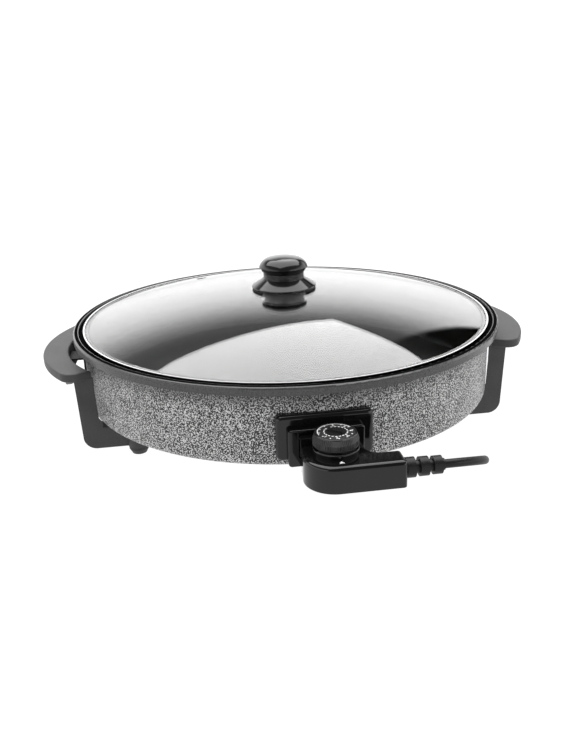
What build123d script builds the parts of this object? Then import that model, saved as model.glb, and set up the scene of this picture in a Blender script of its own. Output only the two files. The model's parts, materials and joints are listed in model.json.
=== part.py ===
from build123d import *
import os
from math import acos, degrees, pi, radians, sqrt, tan

os.makedirs("parts", exist_ok=True)

# Electric skillet: a round pan on four legs with two grips, a domed glass lid that lifts off, and a
# plug-in temperature control on the front. Millimetres; the pan's axis is Z and it stands on z = 0.
# +X is the right-hand grip and -Y is the front, where the control plugs in.

# ---------------------------------------------------------------- driving dimensions
# Pan
PAN_R = 199.5              # outside of the wall
PAN_WALL = 3.0
BASE_Z = 33.5              # underside of the pan above the table
BASE_T = 4.0               # thickness of the pan's bottom
BASE_CORNER = 6.0
RIM_Z = 106.0              # top of the rim
RIM_OUT = 8.9              # how far the rim stands out of the wall
RIM_TOP_OUT = 3.5          # mouth of the rim, measured out of the wall
RIM_BAND = 9.6             # height of the rim's outer band
RIM_FALL = 0.7             # how far its top falls outwards
RIM_EDGE_R = 1.9           # rounded outer edge of its top
LEDGE_DROP = 4.6           # the lid's ledge below the top of the rim

# Lid
LID_GAP = 4.2              # between the lid's band and the mouth of the rim
GLASS_T = 4.0
DOME_RISE = 26.8           # the dome above the glass's flat edge
DOME_EDGE = 4.8            # width of the flat edge inside the band
BAND_T = 0.3
BAND_FLANGE = 2.3          # width of the band over the glass
VENT_AT = (-77.0, 120.0)   # centre of the steam vent
VENT_R = 3.3

# Lid knob
KNOB_R = 24.0
KNOB_H = 21.5
SKIRT_R = 32.3
SKIRT_H = 8.9
KNOB_BASE_R = 22.7
KNOB_BASE_H = 12.0
KNOB_SCREW_R = 2.0

# Grips
GRIP_REACH = 39.2          # grip's tip out of the pan wall
GRIP_ARC_R = 140.4
GRIP_HALF = 85.2           # half width at the corners
GRIP_SLOPE = 0.45          # how the side edges close in towards the pan
GRIP_CORNER_R = 13.0
GRIP_T = 8.4
GRIP_DROP = 19.9           # top of the grip below the top of the rim
SLOT_W = 15.5              # finger slot at its widest
SLOT_ARC_R = 122.7
SKIRT_WALL = 3.5           # bowed skirt under the slot's edge
SKIRT_MID = 24.0           # skirt's depth at the middle of the bow
SKIRT_END = 8.0            # and at its ends

# Legs and feet
LEG_END = 71.0             # outer end face of a leg, from the X axis
LEG_W = 17.0
LEG_WALL = 3.5
LEG_OUT = 6.0              # leg's outer face out of the pan wall, at the top
LEG_TAPER = 2.4            # how far that face draws in on its way down
LEG_CORNER_R = 12.0
LEG_TOP_BLOCK = 15.4
LEG_GAP = 1.5              # between the leg and the pan wall
FOOT_IN = 46.5             # foot's axis inside the pan wall
FOOT_Y = 70.0
FOOT_H = 7.2
FOOT_R = 9.3
FOOT_TIP_R = 6.8
PAD_H = 20.4               # height of the leg's arm and its round pad
BOSS_R = 7.0
FOOT_SCREW_R = 2.0
GRIP_SCREW_R = 1.5
STRAP_W = 24.0             # steel strap under each grip
STRAP_T = 1.8

# Heating element and its shield
RING_R = 112.0
RING_TUBE_R = 3.5
TAIL_GAP = 12.0            # each cold end's distance from the middle
TAIL_END = 21.0            # cold ends stop this far inside the wall
SHIELD_R = 140.0
SHIELD_T = 1.0
SHIELD_STUD_AT = 60.0

# Socket, built around the control's nose
NOSE_W = 44.0
FRAME_W = NOSE_W + 34.5
FRAME_Z = (42.0, 81.0)
FRAME_OUT = 5.5            # frame's front out of the pan wall
MOUTH_W = NOSE_W + 17.4
MOUTH_Z = (39.3, 71.0)
MOUTH_OUT = 11.5
CAVITY_OUT = 4.5           # floor of the cavity, out of the pan wall
FRAME_WALL = 3.0
DUCT_W = 34.0
DUCT_Z = 23.0
PIN_Z = 57.0
PIN_R = 2.5
PIN_GAP = 18.0
PIN_TIP_OUT = 22.5
TAB_X = NOSE_W / 2 + 9.0   # wall tabs that hold the frame

# Control
NOSE_Z = (48.0, 66.8)
NOSE_OUT = 6.5             # tip of the nose, out of the pan wall
NOSE_FIT = 0.6
BODY_BACK = 12.5           # back of the body, out of the pan wall
BODY_FRONT = 61.5
BODY_LEFT = -NOSE_W / 2 - 4.5
BODY_WAIST = 5.5           # how far the left side closes in towards the pan
BODY_RIGHT = 51.0
BODY_CORNER_R = 24.0       # rounded front left corner
ARM_BACK = 39.5
NECK_RIGHT = NOSE_W / 2 + 4.0
BODY_Z = (39.3, 61.0)
SEAM_Z = 50.5
SHELL_T = 2.0
DIAL_X = 3.0
DIAL_R = 17.8              # knurled skirt of the dial
DIAL_TOP_R = 16.0
DIAL_OUT = MOUTH_OUT + 1.4 + DIAL_R
DIAL_H = 9.4
KNURL_H = 4.4
COLLAR_R = DIAL_R + 0.4    # fixed collar under the dial
COLLAR_DROP = 2.2          # collar's rim below the dial
SHAFT_R = 3.0
SHAFT_FIT = 0.05
RELIEF_Y = 50.5
RELIEF_L = 31.0

# Cord
CORD_R = 3.5
COIL_AT = (42.0, PAN_R + 62.5)
COIL_R = (31.5, 45.5)
COIL_H = 14.0
PLUG_Z = 18.5
PLUG_R = 18.5

# Clearances
FIT = 0.1                  # fixed pieces that slip together
SLIP = 0.3                 # pieces that move past each other

# ---------------------------------------------------------------- derived places
RIM_R = PAN_R + RIM_OUT
MOUTH_R = PAN_R + RIM_TOP_OUT
INNER_R = PAN_R - PAN_WALL
LEDGE_Z = RIM_Z - LEDGE_DROP
LID_R = MOUTH_R - LID_GAP
GLASS_R = LID_R - BAND_T - FIT
GLASS_Z = LEDGE_Z + BAND_T
DOME_R = GLASS_R - DOME_EDGE
DOME_TOP = GLASS_Z + GLASS_T + DOME_RISE
SPHERE_R = (DOME_R**2 + DOME_RISE**2) / (2 * DOME_RISE)
GRIP_Z = RIM_Z - GRIP_DROP - GRIP_T
GRIP_TIP = PAN_R + GRIP_REACH
SLOT_MID = PAN_R + SLOT_W
LEG_TOP_U = PAN_R + LEG_OUT
TAB_SCREW_Y = -sqrt((PAN_R + 2.8) ** 2 - TAB_X**2)
FOOT_X = PAN_R - FOOT_IN
ARM_TOP = FOOT_H + PAD_H
SIDES = (("left", -1), ("right", 1))
ENDS = (("front", -1), ("rear", 1))


def dome_z(radius, sphere=SPHERE_R, top=DOME_TOP):
    """Height of a spherical cap, a distance from the lid's axis."""
    return top - sphere + sqrt(sphere**2 - radius**2)


# ---------------------------------------------------------------- pan vessel
with BuildPart() as pan_vessel:
    with BuildSketch(Plane.XZ) as pan_section:
        with BuildLine():
            Polyline(
                (0, BASE_Z),
                (PAN_R, BASE_Z),
                (PAN_R, RIM_Z - RIM_BAND),
                (RIM_R, RIM_Z - RIM_BAND + 2),
                (RIM_R, RIM_Z - RIM_FALL),
                (MOUTH_R, RIM_Z),
                (MOUTH_R, LEDGE_Z),
                (INNER_R, LEDGE_Z),
                (INNER_R, BASE_Z + BASE_T),
                (0, BASE_Z + BASE_T),
                close=True,
            )
        make_face()
        fillet(pan_section.vertices().group_by(Axis.Y)[0].sort_by(Axis.X)[-1:], BASE_CORNER)
        fillet(pan_section.vertices().filter_by_position(Axis.Y, RIM_Z - 1, RIM_Z + 1)
               .filter_by_position(Axis.X, RIM_R - 0.1, RIM_R + 0.1), RIM_EDGE_R)
        fillet(pan_section.vertices().filter_by_position(Axis.Y, RIM_Z - 0.1, RIM_Z + 0.1)
               .filter_by_position(Axis.X, MOUTH_R - 0.1, MOUTH_R + 0.1), 0.8)
        fillet(pan_section.vertices()
               .filter_by_position(Axis.Y, BASE_Z + BASE_T - 0.1, BASE_Z + BASE_T + 0.1)
               .filter_by_position(Axis.X, INNER_R - 0.1, INNER_R + 0.1), BASE_CORNER - PAN_WALL + 2)
    revolve(axis=Axis.Z)
    with BuildSketch(Plane.XY.offset(ARM_TOP)):
        with GridLocations(2 * FOOT_X, 2 * FOOT_Y, 2, 2):
            Circle(BOSS_R)
    extrude(amount=BASE_Z + BASE_T / 2 - ARM_TOP)
    with BuildSketch(Plane.XY.offset(BASE_Z - 2 * RING_TUBE_R)):
        with PolarLocations(SHIELD_STUD_AT, 3, start_angle=90):
            Circle(4)
    extrude(amount=2 * RING_TUBE_R + BASE_T / 2)
    with BuildSketch(Plane.XY.offset(FRAME_Z[0] + FRAME_WALL)):
        for sx in (-1, 1):
            with BuildLine():
                Polyline(
                    (sx * (TAB_X - 4), -(PAN_R - 4)),
                    (sx * (TAB_X + 4), -(PAN_R - 5)),
                    (sx * (TAB_X + 4), -(PAN_R + 2.4)),
                    (sx * (TAB_X - 4), -(PAN_R + 2.4)),
                    close=True,
                )
            make_face()
    extrude(amount=2)
    with BuildSketch(Plane.XY.offset(ARM_TOP)):
        with GridLocations(2 * FOOT_X, 2 * FOOT_Y, 2, 2):
            Circle(FOOT_SCREW_R + FIT / 2)
    extrude(amount=8, mode=Mode.SUBTRACT)
    with BuildSketch(Plane.XY.offset(BASE_Z - 2 * RING_TUBE_R)):
        with PolarLocations(SHIELD_STUD_AT, 3, start_angle=90):
            Circle(1.5 + FIT / 2)
    extrude(amount=8, mode=Mode.SUBTRACT)
    with BuildSketch(Plane.XY.offset(FRAME_Z[0])):
        with Locations((TAB_X, TAB_SCREW_Y), (-TAB_X, TAB_SCREW_Y)):
            Circle(1.5 + FIT / 2)
    extrude(amount=6, mode=Mode.SUBTRACT)
pan_vessel.part.label = "pan_vessel"
export_step(pan_vessel.part, "parts/pan_vessel.step")

# ---------------------------------------------------------------- heating element
RING_Z = BASE_Z - RING_TUBE_R
TAIL_Y = sqrt(RING_R**2 - TAIL_GAP**2)
with BuildPart() as heating_element:
    open_angle = degrees(acos(TAIL_Y / RING_R))
    with BuildLine(Plane.XY.offset(RING_Z)) as ring_path:
        CenterArc((0, 0), RING_R, -90 + open_angle, 360 - 2 * open_angle)
    with BuildSketch(Plane(ring_path.line @ 0, z_dir=ring_path.line % 0)):
        Circle(RING_TUBE_R)
    sweep()
    with BuildSketch(Plane.XZ.offset(TAIL_Y - RING_TUBE_R * 0.2)):
        with Locations((-TAIL_GAP, RING_Z), (TAIL_GAP, RING_Z)):
            Circle(RING_TUBE_R)
    extrude(amount=PAN_R - TAIL_END - TAIL_Y + RING_TUBE_R * 0.2)
    with Locations((-TAIL_GAP, -TAIL_Y, RING_Z), (TAIL_GAP, -TAIL_Y, RING_Z)):
        Sphere(RING_TUBE_R)
heating_element.part.label = "heating_element"
export_step(heating_element.part, "parts/heating_element.step")

# ---------------------------------------------------------------- shield under the element
SHIELD_Z = BASE_Z - 2 * RING_TUBE_R - SHIELD_T
SHIELD_RISE = BASE_Z - SHIELD_T - SHIELD_Z
with BuildPart() as base_shield:
    with BuildSketch(Plane.XZ):
        with BuildLine():
            Polyline(
                (0, SHIELD_Z),
                (SHIELD_R - 14, SHIELD_Z),
                (SHIELD_R - 8, SHIELD_Z + SHIELD_RISE),
                (SHIELD_R, SHIELD_Z + SHIELD_RISE),
                (SHIELD_R, SHIELD_Z + SHIELD_RISE + SHIELD_T),
                (SHIELD_R - 8.6, SHIELD_Z + SHIELD_RISE + SHIELD_T),
                (SHIELD_R - 14.6, SHIELD_Z + SHIELD_T),
                (0, SHIELD_Z + SHIELD_T),
                close=True,
            )
        make_face()
    revolve(axis=Axis.Z)
    with BuildSketch(Plane.XZ.offset(TAIL_Y)):
        with Locations((-TAIL_GAP, RING_Z), (TAIL_GAP, RING_Z)):
            Rectangle(2 * RING_TUBE_R + 1, 2 * RING_TUBE_R + 2.2 * SHIELD_T)
    extrude(amount=SHIELD_R, mode=Mode.SUBTRACT)
    with BuildSketch(Plane.XY.offset(SHIELD_Z)):
        with PolarLocations(SHIELD_STUD_AT, 3, start_angle=90):
            Circle(1.5 + FIT)
    extrude(amount=SHIELD_T, mode=Mode.SUBTRACT)
base_shield.part.label = "base_shield"
export_step(base_shield.part, "parts/base_shield.step")

with BuildPart() as shield_screws:
    with BuildSketch(Plane.XY.offset(SHIELD_Z)):
        with PolarLocations(SHIELD_STUD_AT, 3, start_angle=90):
            Circle(1.5)
    extrude(amount=7.5)
    with BuildSketch(Plane.XY.offset(SHIELD_Z - 1.8)):
        with PolarLocations(SHIELD_STUD_AT, 3, start_angle=90):
            Circle(3)
    extrude(amount=1.8)
    chamfer(shield_screws.faces().sort_by(Axis.Z)[:3].edges(), 0.5)
shield_screws.part.label = "shield_screws"
export_step(shield_screws.part, "parts/shield_screws.step")

# ---------------------------------------------------------------- grips
# The plate's outer edge is an arc, its sides close in towards the pan, and the finger slot's edge
# is a second arc that comes near the wall at the plate's two tips.
TIP_CENTRE = GRIP_TIP - GRIP_ARC_R
CORNER_U = TIP_CENTRE + sqrt(GRIP_ARC_R**2 - GRIP_HALF**2)
SLOT_CENTRE = SLOT_MID - SLOT_ARC_R
SIDE_IN = 46.0
ROOT_U = CORNER_U - SIDE_IN
ROOT_V = GRIP_HALF - GRIP_SLOPE * SIDE_IN
GRIP_SCREW_AT = (PAN_R + 1.7, LEG_END - 8.3)
STRAP_SCREW_AT = PAN_R + 27.0
STRAP_SCREW_V = 6.0
for side, sx in SIDES:
    with BuildPart() as grip:
        with BuildSketch(Plane.XY.offset(GRIP_Z)) as plate:
            with BuildLine():
                Polyline(
                    (sx * CORNER_U, GRIP_HALF),
                    (sx * ROOT_U, ROOT_V),
                    (sx * ROOT_U, -ROOT_V),
                    (sx * CORNER_U, -GRIP_HALF),
                )
                ThreePointArc(
                    (sx * CORNER_U, -GRIP_HALF), (sx * GRIP_TIP, 0), (sx * CORNER_U, GRIP_HALF)
                )
            make_face()
            fillet(plate.vertices().group_by(Axis.Y)[0] + plate.vertices().group_by(Axis.Y)[-1],
                   GRIP_CORNER_R)
            with Locations((sx * SLOT_CENTRE, 0)):
                Circle(SLOT_ARC_R, mode=Mode.SUBTRACT)
        extrude(amount=GRIP_T)
        rounded = grip.edges().filter_by_position(Axis.Z, GRIP_Z + GRIP_T - 0.01, GRIP_Z + GRIP_T + 0.01)
        fillet(rounded, 1.5)
        fillet(grip.edges().group_by(Axis.Z)[0], 2.5)
        with BuildSketch(Plane.XY.offset(GRIP_Z + GRIP_T / 2)):
            with Locations((sx * SLOT_CENTRE, 0)):
                Circle(SLOT_ARC_R + 3 + SKIRT_WALL)
                Circle(SLOT_ARC_R + 3, mode=Mode.SUBTRACT)
            with Locations((0, 0)):
                Rectangle(2 * SLOT_MID + 60, 2 * (LEG_END - LEG_W - FIT), mode=Mode.INTERSECT)
            with Locations((sx * (SLOT_CENTRE - GRIP_TIP), 0)):
                Rectangle(2 * GRIP_TIP, 2 * GRIP_TIP, mode=Mode.SUBTRACT)
        extrude(amount=-GRIP_T / 2 - SKIRT_MID)
        bow_half = LEG_END - LEG_W
        with BuildSketch(Plane.YZ):
            with BuildLine():
                ThreePointArc(
                    (-bow_half, GRIP_Z - SKIRT_END),
                    (0, GRIP_Z - SKIRT_MID),
                    (bow_half, GRIP_Z - SKIRT_END),
                )
                Polyline(
                    (bow_half, GRIP_Z - SKIRT_END),
                    (bow_half, GRIP_Z - SKIRT_MID - 1),
                    (-bow_half, GRIP_Z - SKIRT_MID - 1),
                    (-bow_half, GRIP_Z - SKIRT_END),
                )
            make_face()
        extrude(amount=sx * (GRIP_TIP + 10), mode=Mode.SUBTRACT)
        with BuildSketch(Plane.XY.offset(GRIP_Z - STRAP_T - FIT)):
            with Locations((sx * SLOT_MID, 0)):
                Rectangle(2 * GRIP_REACH, STRAP_W + 4 * FIT)
        extrude(amount=STRAP_T + FIT, mode=Mode.SUBTRACT)
        with BuildSketch(Plane.XY.offset(GRIP_Z)):
            with Locations(
                (sx * GRIP_SCREW_AT[0], GRIP_SCREW_AT[1]),
                (sx * GRIP_SCREW_AT[0], -GRIP_SCREW_AT[1]),
                (sx * STRAP_SCREW_AT, STRAP_SCREW_V),
                (sx * STRAP_SCREW_AT, -STRAP_SCREW_V),
            ):
                Circle(GRIP_SCREW_R + FIT / 2)
        extrude(amount=5.5, mode=Mode.SUBTRACT)
    grip.part.label = f"handle_grip_{side}"
    export_step(grip.part, f"parts/handle_grip_{side}.step")

    # Steel strap: one leg against the wall, the other under the grip.
    with BuildPart() as strap:
        with BuildSketch(Plane.XZ.offset(-STRAP_W / 2)):
            with BuildLine():
                Polyline(
                    (sx * (PAN_R + FIT), GRIP_Z - 16),
                    (sx * (PAN_R + FIT + STRAP_T), GRIP_Z - 16),
                    (sx * (PAN_R + FIT + STRAP_T), GRIP_Z - STRAP_T),
                    (sx * (PAN_R + GRIP_REACH - 6), GRIP_Z - STRAP_T),
                    (sx * (PAN_R + GRIP_REACH - 6), GRIP_Z),
                    (sx * (PAN_R + FIT), GRIP_Z),
                    close=True,
                )
            make_face()
        extrude(amount=STRAP_W)
        with BuildSketch(Plane.XY.offset(GRIP_Z - STRAP_T)):
            with Locations(
                (sx * STRAP_SCREW_AT, STRAP_SCREW_V), (sx * STRAP_SCREW_AT, -STRAP_SCREW_V)
            ):
                Circle(GRIP_SCREW_R + FIT)
        extrude(amount=STRAP_T, mode=Mode.SUBTRACT)
    strap.part.label = f"handle_bracket_{side}"
    export_step(strap.part, f"parts/handle_bracket_{side}.step")

with BuildPart() as bracket_screws:
    for layer, radius, height in (
        (GRIP_Z - STRAP_T, GRIP_SCREW_R, STRAP_T + 5),
        (GRIP_Z - STRAP_T - 1.8, 2 * GRIP_SCREW_R, 1.8),
    ):
        with BuildSketch(Plane.XY.offset(layer)):
            with GridLocations(2 * STRAP_SCREW_AT, 2 * STRAP_SCREW_V, 2, 2):
                Circle(radius)
        extrude(amount=height)
bracket_screws.part.label = "bracket_screws"
export_step(bracket_screws.part, "parts/bracket_screws.step")

# ---------------------------------------------------------------- legs and feet
# A leg is a thin moulding: an end wall, an outer wall, a block at the top for the grip's screw,
# and an arm under the pan that ends in a round pad over the foot.
BLOCK_U = PAN_R - 2.5
LEG_LOW_U = LEG_TOP_U - LEG_TAPER
CORNER_Z = FOOT_H + LEG_CORNER_R
CORNER_MID = LEG_CORNER_R * (1 - sqrt(0.5))
for side, sx in SIDES:
    for end, ty in ENDS:
        back = LEG_END if ty > 0 else -(LEG_END - LEG_W)
        inside = LEG_END - LEG_WALL if ty > 0 else -(LEG_END - LEG_W)
        with BuildPart() as leg:
            with BuildSketch(Plane.XZ.offset(-back)):
                with BuildLine():
                    Polyline(
                        (sx * (LEG_LOW_U - LEG_CORNER_R), FOOT_H),
                        (sx * FOOT_X, FOOT_H),
                        (sx * FOOT_X, ARM_TOP),
                        (sx * (PAN_R - 30), ARM_TOP),
                        (sx * (PAN_R - 30), GRIP_Z),
                        (sx * LEG_TOP_U, GRIP_Z),
                        (sx * LEG_LOW_U, CORNER_Z),
                    )
                    ThreePointArc(
                        (sx * LEG_LOW_U, CORNER_Z),
                        (sx * (LEG_LOW_U - CORNER_MID), FOOT_H + CORNER_MID),
                        (sx * (LEG_LOW_U - LEG_CORNER_R), FOOT_H),
                    )
                make_face()
            extrude(amount=LEG_W)
            # hollow behind the end wall, below and beside the top block
            with BuildSketch(Plane.XZ.offset(-inside)):
                with BuildLine():
                    Polyline(
                        (sx * (PAN_R - 40), ARM_TOP),
                        (sx * (LEG_LOW_U - LEG_WALL), ARM_TOP),
                        (sx * (LEG_TOP_U - LEG_WALL - 0.4), GRIP_Z - LEG_TOP_BLOCK),
                        (sx * BLOCK_U, GRIP_Z - LEG_TOP_BLOCK),
                        (sx * BLOCK_U, GRIP_Z + 1),
                        (sx * (PAN_R - 40), GRIP_Z + 1),
                        close=True,
                    )
                make_face()
            extrude(amount=LEG_W - LEG_WALL, mode=Mode.SUBTRACT)
            # the pan's wall and the rounded corner of its bottom
            with BuildSketch(Plane.XZ):
                with BuildLine():
                    Polyline(
                        (0, ARM_TOP),
                        (PAN_R - 2, ARM_TOP),
                        (PAN_R - 2, BASE_Z + 0.3),
                        (PAN_R + 0.6, BASE_Z + BASE_CORNER - 2),
                        (PAN_R + LEG_GAP, GRIP_Z - LEG_TOP_BLOCK),
                        (PAN_R + LEG_GAP, RIM_Z),
                        (0, RIM_Z),
                        close=True,
                    )
                make_face()
            revolve(axis=Axis.Z, mode=Mode.SUBTRACT)
            with BuildSketch(Plane.XY.offset(FOOT_H)):
                with Locations((sx * FOOT_X, ty * FOOT_Y)):
                    Circle(FOOT_R + 0.5)
            extrude(amount=PAD_H)
            with BuildSketch(Plane.XY.offset(FOOT_H)):
                with Locations((sx * FOOT_X, ty * FOOT_Y)):
                    Circle(FOOT_SCREW_R + FIT)
            extrude(amount=PAD_H, mode=Mode.SUBTRACT)
            with BuildSketch(Plane.XY.offset(GRIP_Z - LEG_TOP_BLOCK)):
                with Locations((sx * GRIP_SCREW_AT[0], ty * GRIP_SCREW_AT[1])):
                    Circle(GRIP_SCREW_R + FIT)
            extrude(amount=LEG_TOP_BLOCK, mode=Mode.SUBTRACT)
            with BuildSketch(Plane.XY.offset(GRIP_Z - LEG_TOP_BLOCK)):
                with Locations((sx * GRIP_SCREW_AT[0], ty * GRIP_SCREW_AT[1])):
                    Circle(2 * GRIP_SCREW_R + FIT)
            extrude(amount=LEG_TOP_BLOCK - 7, mode=Mode.SUBTRACT)
        leg.part.label = f"leg_{end}_{side}"
        export_step(leg.part, f"parts/leg_{end}_{side}.step")

        with BuildPart() as foot:
            with BuildSketch(Plane.XZ) as foot_section:
                with BuildLine():
                    Polyline(
                        (FOOT_SCREW_R + FIT, FOOT_H),
                        (FOOT_R, FOOT_H),
                        (FOOT_R, FOOT_H - 2.5),
                        (FOOT_TIP_R, 0),
                        (4, 0),
                        (4, 4),
                        (FOOT_SCREW_R + FIT, 4),
                        close=True,
                    )
                make_face()
            revolve(axis=Axis.Z)
        foot.part = foot.part.moved(Location((sx * FOOT_X, ty * FOOT_Y, 0)))
        foot.part.label = f"foot_{end}_{side}"
        export_step(foot.part, f"parts/foot_{end}_{side}.step")

with BuildPart() as grip_screws:
    for layer, radius, height in (
        (GRIP_Z - 7, GRIP_SCREW_R, 12),
        (GRIP_Z - 8.8, 2 * GRIP_SCREW_R, 1.8),
    ):
        with BuildSketch(Plane.XY.offset(layer)):
            with GridLocations(2 * GRIP_SCREW_AT[0], 2 * GRIP_SCREW_AT[1], 2, 2):
                Circle(radius)
        extrude(amount=height)
grip_screws.part.label = "grip_screws"
export_step(grip_screws.part, "parts/grip_screws.step")

with BuildPart() as foot_screws:
    for layer, radius, height in (
        (4.0, FOOT_SCREW_R, ARM_TOP + 7 - 4.0),
        (1.5, 3.6, 2.5),
    ):
        with BuildSketch(Plane.XY.offset(layer)):
            with GridLocations(2 * FOOT_X, 2 * FOOT_Y, 2, 2):
                Circle(radius)
        extrude(amount=height)
foot_screws.part.label = "foot_screws"
export_step(foot_screws.part, "parts/foot_screws.step")

# ---------------------------------------------------------------- socket
FRAME_Y = -(PAN_R + FRAME_OUT)
MOUTH_Y = -(PAN_R + MOUTH_OUT)
CAVITY_Y = -(PAN_R + CAVITY_OUT)
FRAME_MID = (FRAME_Z[0] + FRAME_Z[1]) / 2
FRAME_H = FRAME_Z[1] - FRAME_Z[0]
MOUTH_MID = (MOUTH_Z[0] + MOUTH_Z[1]) / 2
MOUTH_H = MOUTH_Z[1] - MOUTH_Z[0]
NOSE_MID = (NOSE_Z[0] + NOSE_Z[1]) / 2
NOSE_H = NOSE_Z[1] - NOSE_Z[0]
STRAP_Y = -(PAN_R + 2.1)
BLOCK_W = 30.0
BLOCK_H = 14.0
EARTH_Z = NOSE_Z[0] - NOSE_FIT - 0.8
with BuildPart() as socket_housing:
    with BuildSketch(Plane.XZ.offset(-FRAME_Y)):
        with Locations((0, FRAME_MID)):
            RectangleRounded(FRAME_W, FRAME_H, 5)
    extrude(amount=-16)
    fillet(socket_housing.faces().sort_by(Axis.Y)[0].edges(), 3.6)
    with BuildSketch(Plane.XZ.offset(-FRAME_Y)):
        with Locations((0, MOUTH_MID)):
            RectangleRounded(MOUTH_W, MOUTH_H, 3)
    extrude(amount=MOUTH_OUT - FRAME_OUT)
    fillet(socket_housing.faces().sort_by(Axis.Y)[0].edges(), 1.5)
    with BuildSketch(Plane.XZ.offset(-FRAME_Y)):
        with Locations((0, (DUCT_Z + MOUTH_MID) / 2)):
            Rectangle(DUCT_W, MOUTH_MID - DUCT_Z)
    extrude(amount=-17)
    # the wall of the pan, and the underside of its bottom
    with BuildSketch(Plane.XY.offset(BASE_Z - FIT)):
        Circle(PAN_R + 2 * FIT)
    extrude(amount=FRAME_Z[1], mode=Mode.SUBTRACT)
    # mouth for the control's nose
    with BuildSketch(Plane.XZ.offset(-CAVITY_Y)):
        with Locations((0, (EARTH_Z - FIT + NOSE_Z[1] + NOSE_FIT) / 2)):
            RectangleRounded(NOSE_W + 2 * NOSE_FIT, NOSE_Z[1] + NOSE_FIT - EARTH_Z + FIT, 2)
    extrude(amount=MOUTH_OUT, mode=Mode.SUBTRACT)
    # hollows behind the frame
    hollow_in = NOSE_W / 2 + 4
    hollow_out = TAB_X + 4.3
    with BuildSketch(Plane.XZ.offset(PAN_R - 12)):
        for sx in (-1, 1):
            with Locations((sx * (hollow_in + hollow_out) / 2, FRAME_MID)):
                Rectangle(hollow_out - hollow_in, FRAME_H - 2 * FRAME_WALL)
        with Locations((0, FRAME_Z[1] - 7)):
            Rectangle(2 * hollow_in, 8)
    extrude(amount=FRAME_OUT - FRAME_WALL + 12, mode=Mode.SUBTRACT)
    # channel for the terminal straps, from the duct up to the pins
    with BuildSketch(Plane.XZ.offset(PAN_R - 14)):
        with Locations((0, (DUCT_Z + 2 + PIN_Z + 4) / 2)):
            Rectangle(DUCT_W - 6, PIN_Z + 4 - DUCT_Z - 2)
    extrude(amount=14 + 2.1 + FIT / 2, mode=Mode.SUBTRACT)
    # window for the ceramic block
    with BuildSketch(Plane.XZ.offset(PAN_R)):
        with Locations((0, PIN_Z)):
            Rectangle(BLOCK_W + 2 * FIT, BLOCK_H + 2 * FIT)
    extrude(amount=MOUTH_OUT, mode=Mode.SUBTRACT)
    with BuildSketch(Plane.XY.offset(FRAME_Z[0])):
        with Locations((TAB_X, TAB_SCREW_Y), (-TAB_X, TAB_SCREW_Y)):
            Circle(1.5 + FIT)
    extrude(amount=FRAME_WALL, mode=Mode.SUBTRACT)
socket_housing.part.label = "socket_housing"
export_step(socket_housing.part, "parts/socket_housing.step")

with BuildPart() as socket_screws:
    for layer, radius, height in ((FRAME_Z[0], 1.5, 5), (FRAME_Z[0] - 1.6, 2.7, 1.6)):
        with BuildSketch(Plane.XY.offset(layer)):
            with Locations((TAB_X, TAB_SCREW_Y), (-TAB_X, TAB_SCREW_Y)):
                Circle(radius)
        extrude(amount=height)
socket_screws.part.label = "socket_screws"
export_step(socket_screws.part, "parts/socket_screws.step")

with BuildPart() as terminal_block:
    with BuildSketch(Plane.XZ.offset(-STRAP_Y)):
        with Locations((0, PIN_Z)):
            Rectangle(BLOCK_W, BLOCK_H)
        with Locations((-PIN_GAP / 2, PIN_Z), (PIN_GAP / 2, PIN_Z)):
            Circle(PIN_R + FIT / 2, mode=Mode.SUBTRACT)
        with Locations((0, PIN_Z)):
            Circle(PIN_R + SLIP, mode=Mode.SUBTRACT)
    extrude(amount=3.4)
terminal_block.part.label = "terminal_block"
export_step(terminal_block.part, "parts/terminal_block.step")

with BuildPart() as contact_pins:
    with BuildSketch(Plane.XZ.offset(-STRAP_Y)):
        with Locations((-PIN_GAP / 2, PIN_Z), (PIN_GAP / 2, PIN_Z)):
            Circle(PIN_R)
    extrude(amount=PIN_TIP_OUT - 2.1)
    fillet(contact_pins.edges().group_by(Axis.Y)[0], 1.2)
contact_pins.part.label = "contact_pins"
export_step(contact_pins.part, "parts/contact_pins.step")

# Each strap lies under a cold end of the element, runs forward and turns up to its pin.
STRAP_LOW = RING_Z - RING_TUBE_R - 1.2
with BuildPart() as terminal_straps:
    for sx in (-1, 1):
        with BuildSketch(Plane.YZ.offset(sx * PIN_GAP / 2 - 3)):
            with BuildLine():
                Polyline(
                    (-(PAN_R - TAIL_END - 8), STRAP_LOW + 1.2),
                    (-(PAN_R - TAIL_END - 8), STRAP_LOW),
                    (STRAP_Y, STRAP_LOW),
                    (STRAP_Y, PIN_Z + 3),
                    (STRAP_Y + 1.2, PIN_Z + 3),
                    (STRAP_Y + 1.2, STRAP_LOW + 1.2),
                    close=True,
                )
            make_face()
        extrude(amount=6)
terminal_straps.part.label = "terminal_straps"
export_step(terminal_straps.part, "parts/terminal_straps.step")

with BuildPart() as earth_contact:
    with BuildSketch(Plane.XZ.offset(-CAVITY_Y)):
        with Locations((0, EARTH_Z + 0.3)):
            Rectangle(10, 0.6)
    extrude(amount=MOUTH_OUT - CAVITY_OUT - 0.5)
earth_contact.part.label = "earth_contact"
export_step(earth_contact.part, "parts/earth_contact.step")

# ---------------------------------------------------------------- control
NOSE_Y = -(PAN_R + NOSE_OUT)
BACK_Y = -(PAN_R + BODY_BACK)
FRONT_Y = -(PAN_R + BODY_FRONT)
ARM_Y = -(PAN_R + ARM_BACK)
DIAL_Y = -(PAN_R + DIAL_OUT)
RELIEF_AXIS_Y = -(PAN_R + RELIEF_Y)
SLEEVE_R = 3.8
SLEEVE_END = 23.0
SWITCH_BACK = 24.5
SHELL_SCREWS = (
    (BODY_LEFT + BODY_WAIST + 4.0, -(PAN_R + 18)),
    (20.5, -(PAN_R + 18)),
    (36.0, -(PAN_R + 46.5)),
)


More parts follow.
